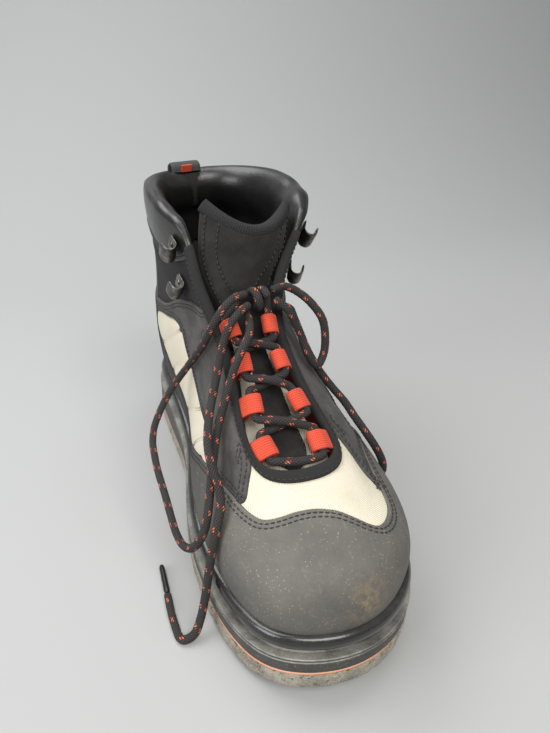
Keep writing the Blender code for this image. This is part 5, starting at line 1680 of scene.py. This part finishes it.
pull_edges = [skin(PULL_STATION + side * PULL_HALF_WIDTH, 1.0) for side in (1, -1)]
pull_wide = float(np.linalg.norm(pull_edges[0] - pull_edges[1]))
pull_route = curve_through(pull_path(), 90)
strap("folded_pull_loop", pull_route, pull_wide, np.array([1.0, 0, 0]), PULL_SHEET, dark_webbing_material,
      "pull_loop")
tab_low, tab_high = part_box("pull_loop_tab")
tab_middle = (np.array(tab_low) + np.array(tab_high)) / 2
tab_way = np.array([0, tab_high[1] - tab_low[1] - 0.0008, tab_high[2] - tab_low[2]])
tab_route = tab_middle + np.outer(np.linspace(-0.5, 0.5, 14), tab_way * [0, -1, 1])
strap("orange_tab", tab_route, float(tab_high[0] - tab_low[0]), np.array([1.0, 0, 0]), 0.0010,
      orange_material, "pull_loop_tab")
print("pull loop:", round(pull_wide / mm, 1), "mm wide")

# %% [markdown]
# Stitches repeat hundreds of times, so Geometry Nodes lay them. Each seam is a line drawn on
# the pattern a few millimetres inside a panel's border. The tree walks along it in steps of
# one stitch and puts a small thread capsule there, turned along the seam.

# %% Seam lines
def beside(line, away, height):
    """A line drawn on the skin beside another, away metres to the left of its way."""
    s, t = line[:, 0], np.clip(line[:, 1], 0.004, 0.996)
    way = unit(np.gradient(skin(s, t), axis=0))
    shift = np.cross(skin_out(s, t), way) * away
    by_s = (skin(s + 0.02, t) - skin(s - 0.02, t)) / 0.04
    by_t = (skin(s, t + 0.004) - skin(s, t - 0.004)) / 0.008
    a, b, d = (by_s * by_s).sum(1), (by_s * by_t).sum(1), (by_t * by_t).sum(1)
    e, f = (shift * by_s).sum(1), (shift * by_t).sum(1)
    s = line[:, 0] + (e * d - f * b) / (a * d - b * b)
    t = np.clip(line[:, 1] + (a * f - b * e) / (a * d - b * b), 0.0, 1.0)
    return skin(s, t, height), skin_out(s, t)


ROW_PLACES, ON_TOP = (2.2 * mm, 4.4 * mm), OVERLAY + 0.05 * mm
dark_seams, pale_seams = [], []
for away in ROW_PLACES:
    dark_seams.append(beside(cap_borders["top"], -away, ON_TOP))
    dark_seams.append(beside(counter_borders["top"], -away, OVERLAY + 0.55 * mm))
for word, sign in (("medial", 1), ("lateral", -1)):
    borders = eyestays[word]
    for away in ROW_PLACES:
        dark_seams.append(beside(borders["bottom"], -sign * away, ON_TOP))
        dark_seams.append(beside(borders["left"], -sign * -away, ON_TOP))
    ankle_line = borders["top"][np.abs(borders["top"][:, 0]) > 5.7]
    for away in ROW_PLACES:
        dark_seams.append(beside(ankle_line, sign * away, ON_TOP))
    for line in quilting_rows[word]:
        for away in (-0.8 * mm, 0.8 * mm):
            pale_seams.append(beside(line[4:-4], away, 0.35 * mm))
binding_line = np.stack([binding_station, 1 - binding_share * 4.7 * mm], -1)
dark_seams.append(beside(binding_line, 0.0, OVERLAY + 1.0 * mm))
dark_seams.append(beside(collar_seam(3.0 * mm), 0.0, 0.95 * mm))

# Bar tacks: station, place, length and width in mm, lean in degrees
TACKS = ((-2.50, 0.87, 13.0, 4.0, 78), (-5.62, 0.80, 10.0, 4.0, 62), (3.0, 0.80, 13.0, 4.0, 102),
         (5.62, 0.80, 10.0, 4.0, 118))
for station, place, long, wide, lean in TACKS:
    lean = math.radians(lean)
    corners = [(x * long / 2, y * wide / 2) for x, y in ((-1, -1), (1, -1), (1, 1), (-1, 1), (-1, -1))]
    line = np.vstack([np.linspace(a, b, 12) for a, b in zip(corners, corners[1:])]) * mm
    turned = np.column_stack([line[:, 0] * math.cos(lean) - line[:, 1] * math.sin(lean),
                              line[:, 0] * math.sin(lean) + line[:, 1] * math.cos(lean)])
    spot = turned / PATTERN + [station, place]
    dark_seams.append((skin(spot[:, 0], spot[:, 1], ON_TOP), skin_out(spot[:, 0], spot[:, 1])))


def on_overlay(across, along):
    """A seam on the tongue's overlay, through shares across the tongue and along it."""
    grid = np.array([tongue_sheet(np.array([a]), np.array([b]))[0, 0] for a, b in zip(across, along)])
    ahead = np.array([tongue_sheet(np.array([a]), np.array([b + 0.01]))[0, 0] for a,
                      b in zip(across, along)])
    besides = np.array([tongue_sheet(np.array([a + 0.01]), np.array([b]))[0, 0] for a,
                        b in zip(across, along)])
    normal = unit(np.cross(besides - grid, ahead - grid))
    normal *= np.sign(normal[len(normal) // 2] @ np.array([0, -0.5, 0.9]))
    pad = softness(across, along) * TONGUE_THICKNESS / 2
    return grid + normal * (pad + 1.25 * mm)[:, None], normal


near_rows = np.concatenate([np.full(1, OVERLAY_TIP + 0.02), np.linspace(OVERLAY_TIP + 0.03, 0.985, 120)])
side_share = overlay_half(near_rows) - 0.035
loop_across = np.concatenate([0.5 - side_share[::-1], 0.5 + side_share])
loop_along = np.concatenate([near_rows[::-1], near_rows])
dark_seams.append(on_overlay(loop_across, loop_along))
patch_seam = np.array(PATCH_LINE)
patch_seam = curve_through((patch_seam - [0.5, 0]) * PATCH_SEAM_SCALE, 160) / PATCH_SCALE + [0.5, 0.012]
patch_points, patch_out = on_overlay(patch_seam[:, 0], np.minimum(patch_seam[:, 1], 0.985))
dark_seams.append((patch_points + patch_out * 0.4 * mm, patch_out))
print("seams:", len(dark_seams), "dark,", len(pale_seams), "pale")

# %% [markdown]
# The same tree lays the black lockstitches and the finer sand-coloured quilting stitches. Only
# the values of its inputs differ.

# %% Stitches by Geometry Nodes
def thread_finish(name, dark, light):
    # Bonded polyester thread: twisted, a little shiny
    made, tree, sockets = finish_named(name, Roughness=0.55, IOR=1.57)
    twist = add(tree, "TexNoise", add(tree, "TexCoord", out="Object"), 2500.0, 2.0)
    add(tree, "Mix", twist, dark, light, data_type="RGBA", to=sockets["Base Color"])
    return made


def stitch_tree(inputs):
    tree, given, leave = node_tree("lockstitch", inputs)
    seam = add(tree, "GeometryNodeMeshToCurve", given["Geometry"])
    even = add(tree, "GeometryNodeResampleCurve", seam, Length=given["Pitch"], mode="LENGTH")
    out_way = add(tree, "GeometryNodeInputNamedAttribute", "out", data_type="FLOAT_VECTOR")
    turned = add(tree, "FunctionNodeAxesToRotation", out_way, add(tree, "GeometryNodeInputTangent"),
                 primary_axis="Z", secondary_axis="X")
    thread = add(tree, "GeometryNodeMeshUVSphere", Segments=8, Rings=5, Radius=0.5)
    size = add(tree, "CombineXYZ", given["Stitch length"], given["Thread width"], given["Thread width"])
    put = add(tree, "GeometryNodeInstanceOnPoints", even, Instance=thread, Rotation=turned, Scale=size)
    real = add(tree, "GeometryNodeRealizeInstances", put)
    add(tree, "GeometryNodeSetMaterial", real, Material=given["Thread"], to=leave.inputs[0])
    return tree


def stitches(name, seams, inputs, tree):
    points, ways, edges = [], [], []
    for line, out in seams:
        first = sum(len(p) for p in points)
        edges += [(first + k, first + k + 1) for k in range(len(line) - 1)]
        points.append(line)
        ways.append(out)
    mesh = bpy.data.meshes.new(name + "_lines")
    mesh.from_pydata(np.concatenate(points).tolist(), edges, [])
    outward = mesh.attributes.new("out", "FLOAT_VECTOR", "POINT")
    outward.data.foreach_set("vector", np.concatenate(ways).astype(np.float32).ravel())
    return grown(name, mesh, tree, inputs)


dark_thread = thread_finish("black_polyester_thread", "0C0C0C", "1E1D1D")
pale_thread = thread_finish("sand_polyester_thread", "6F675A", "A39A88")
dark_inputs = {"Pitch": 0.0030, "Stitch length": 0.0024, "Thread width": 0.0008, "Thread": dark_thread}
lockstitch = stitch_tree(dark_inputs)
stitches("black_stitching", dark_seams, dark_inputs, lockstitch)
pale_inputs = {"Pitch": 0.0022, "Stitch length": 0.0013, "Thread width": 0.0006, "Thread": pale_thread}
stitches("quilting_stitches", pale_seams, pale_inputs, lockstitch)
print("threads:", dark_thread.name, "and", pale_thread.name)

# %% [markdown]
# The insole's own solid has the right shape and stays. It only gets a cloth cover.

# %% Insole
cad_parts["insole"].data.materials.clear()
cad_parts["insole"].data.materials.append(textile_material)
print("insole:", textile_material.name)

# %% [markdown]
# A plain pale floor runs up into a wall behind the boot in one soft curve, so there is no
# horizon. Large soft lamps stand in for a bright room: the strongest above and in front, one
# low at the left for the medial side, and one behind that draws long highlights on the collar
# and the lip.

# %% Floor, lamps and world
FLOOR_HALF, WALL_START, COVE_RADIUS, WALL_TOP = 4.0, 0.45, 0.9, 3.0


def cove():
    # Matt painted board, even, with no pattern to compete with the boot
    finish, _, _ = finish_named("matt_painted_board", Base_Color="A2A3A3", Roughness=0.9, IOR=1.45)
    bend = np.radians(np.linspace(0, 90, 25))
    y = np.concatenate([[-FLOOR_HALF], WALL_START + COVE_RADIUS * np.sin(bend), [WALL_START + COVE_RADIUS]])
    z = np.concatenate([[0.0], COVE_RADIUS * (1 - np.cos(bend)), [WALL_TOP]])
    points = np.array([np.column_stack([np.full(len(y), x), y, z]) for x in (-FLOOR_HALF, FLOOR_HALF)])
    mesh = bpy.data.meshes.new("floor")
    mesh.from_pydata(points.reshape(-1, 3).tolist(), [], lay(2, len(y))[0][:, ::-1].tolist())
    mesh.materials.append(finish)
    mesh.shade_smooth()
    made = bpy.data.objects.new("floor", mesh)
    bpy.context.scene.collection.objects.link(made)


cove()


def lamp(name, place, target, size, power, colour):
    data = bpy.data.lights.new(name, "AREA")
    data.shape, data.size, data.size_y, data.energy = "RECTANGLE", size[0], size[1], power
    data.color = linear(colour)[:3]
    made = bpy.data.objects.new(name, data)
    made.location = place
    made.rotation_euler = (Vector(target) - Vector(place)).to_track_quat("-Z", "Y").to_euler()
    bpy.context.scene.collection.objects.link(made)


# Columns: name, place, what it points at, size, watts and colour
LAMPS = (
    ("ceiling_front", (0.0, -0.8, 1.1), (0, -0.08, 0.05), (0.9, 0.7), 14.5, "FFFDF8"),
    ("window_left", (-1.1, -0.35, 0.55), (0, 0, 0.08), (0.7, 0.7), 9, "FDFDFF"),
    ("window_behind", (-0.4, 0.45, 1.1), (0, 0, 0.1), (1.0, 0.5), 8, "FCFDFF"),
    ("backdrop", (0.1, 0.3, 1.9), (0.1, 1.2, 0.4), (1.6, 0.5), 16, "FFFFFF"),
)
for row in LAMPS:
    lamp(*row)
world = bpy.data.worlds.new("soft_room")
world.use_nodes = True
world.node_tree.nodes["Background"].inputs[0].default_value = linear("D0D0D0")
world.node_tree.nodes["Background"].inputs[1].default_value = 0.5
bpy.context.scene.world = world
bpy.context.scene.view_settings.view_transform = "Standard"
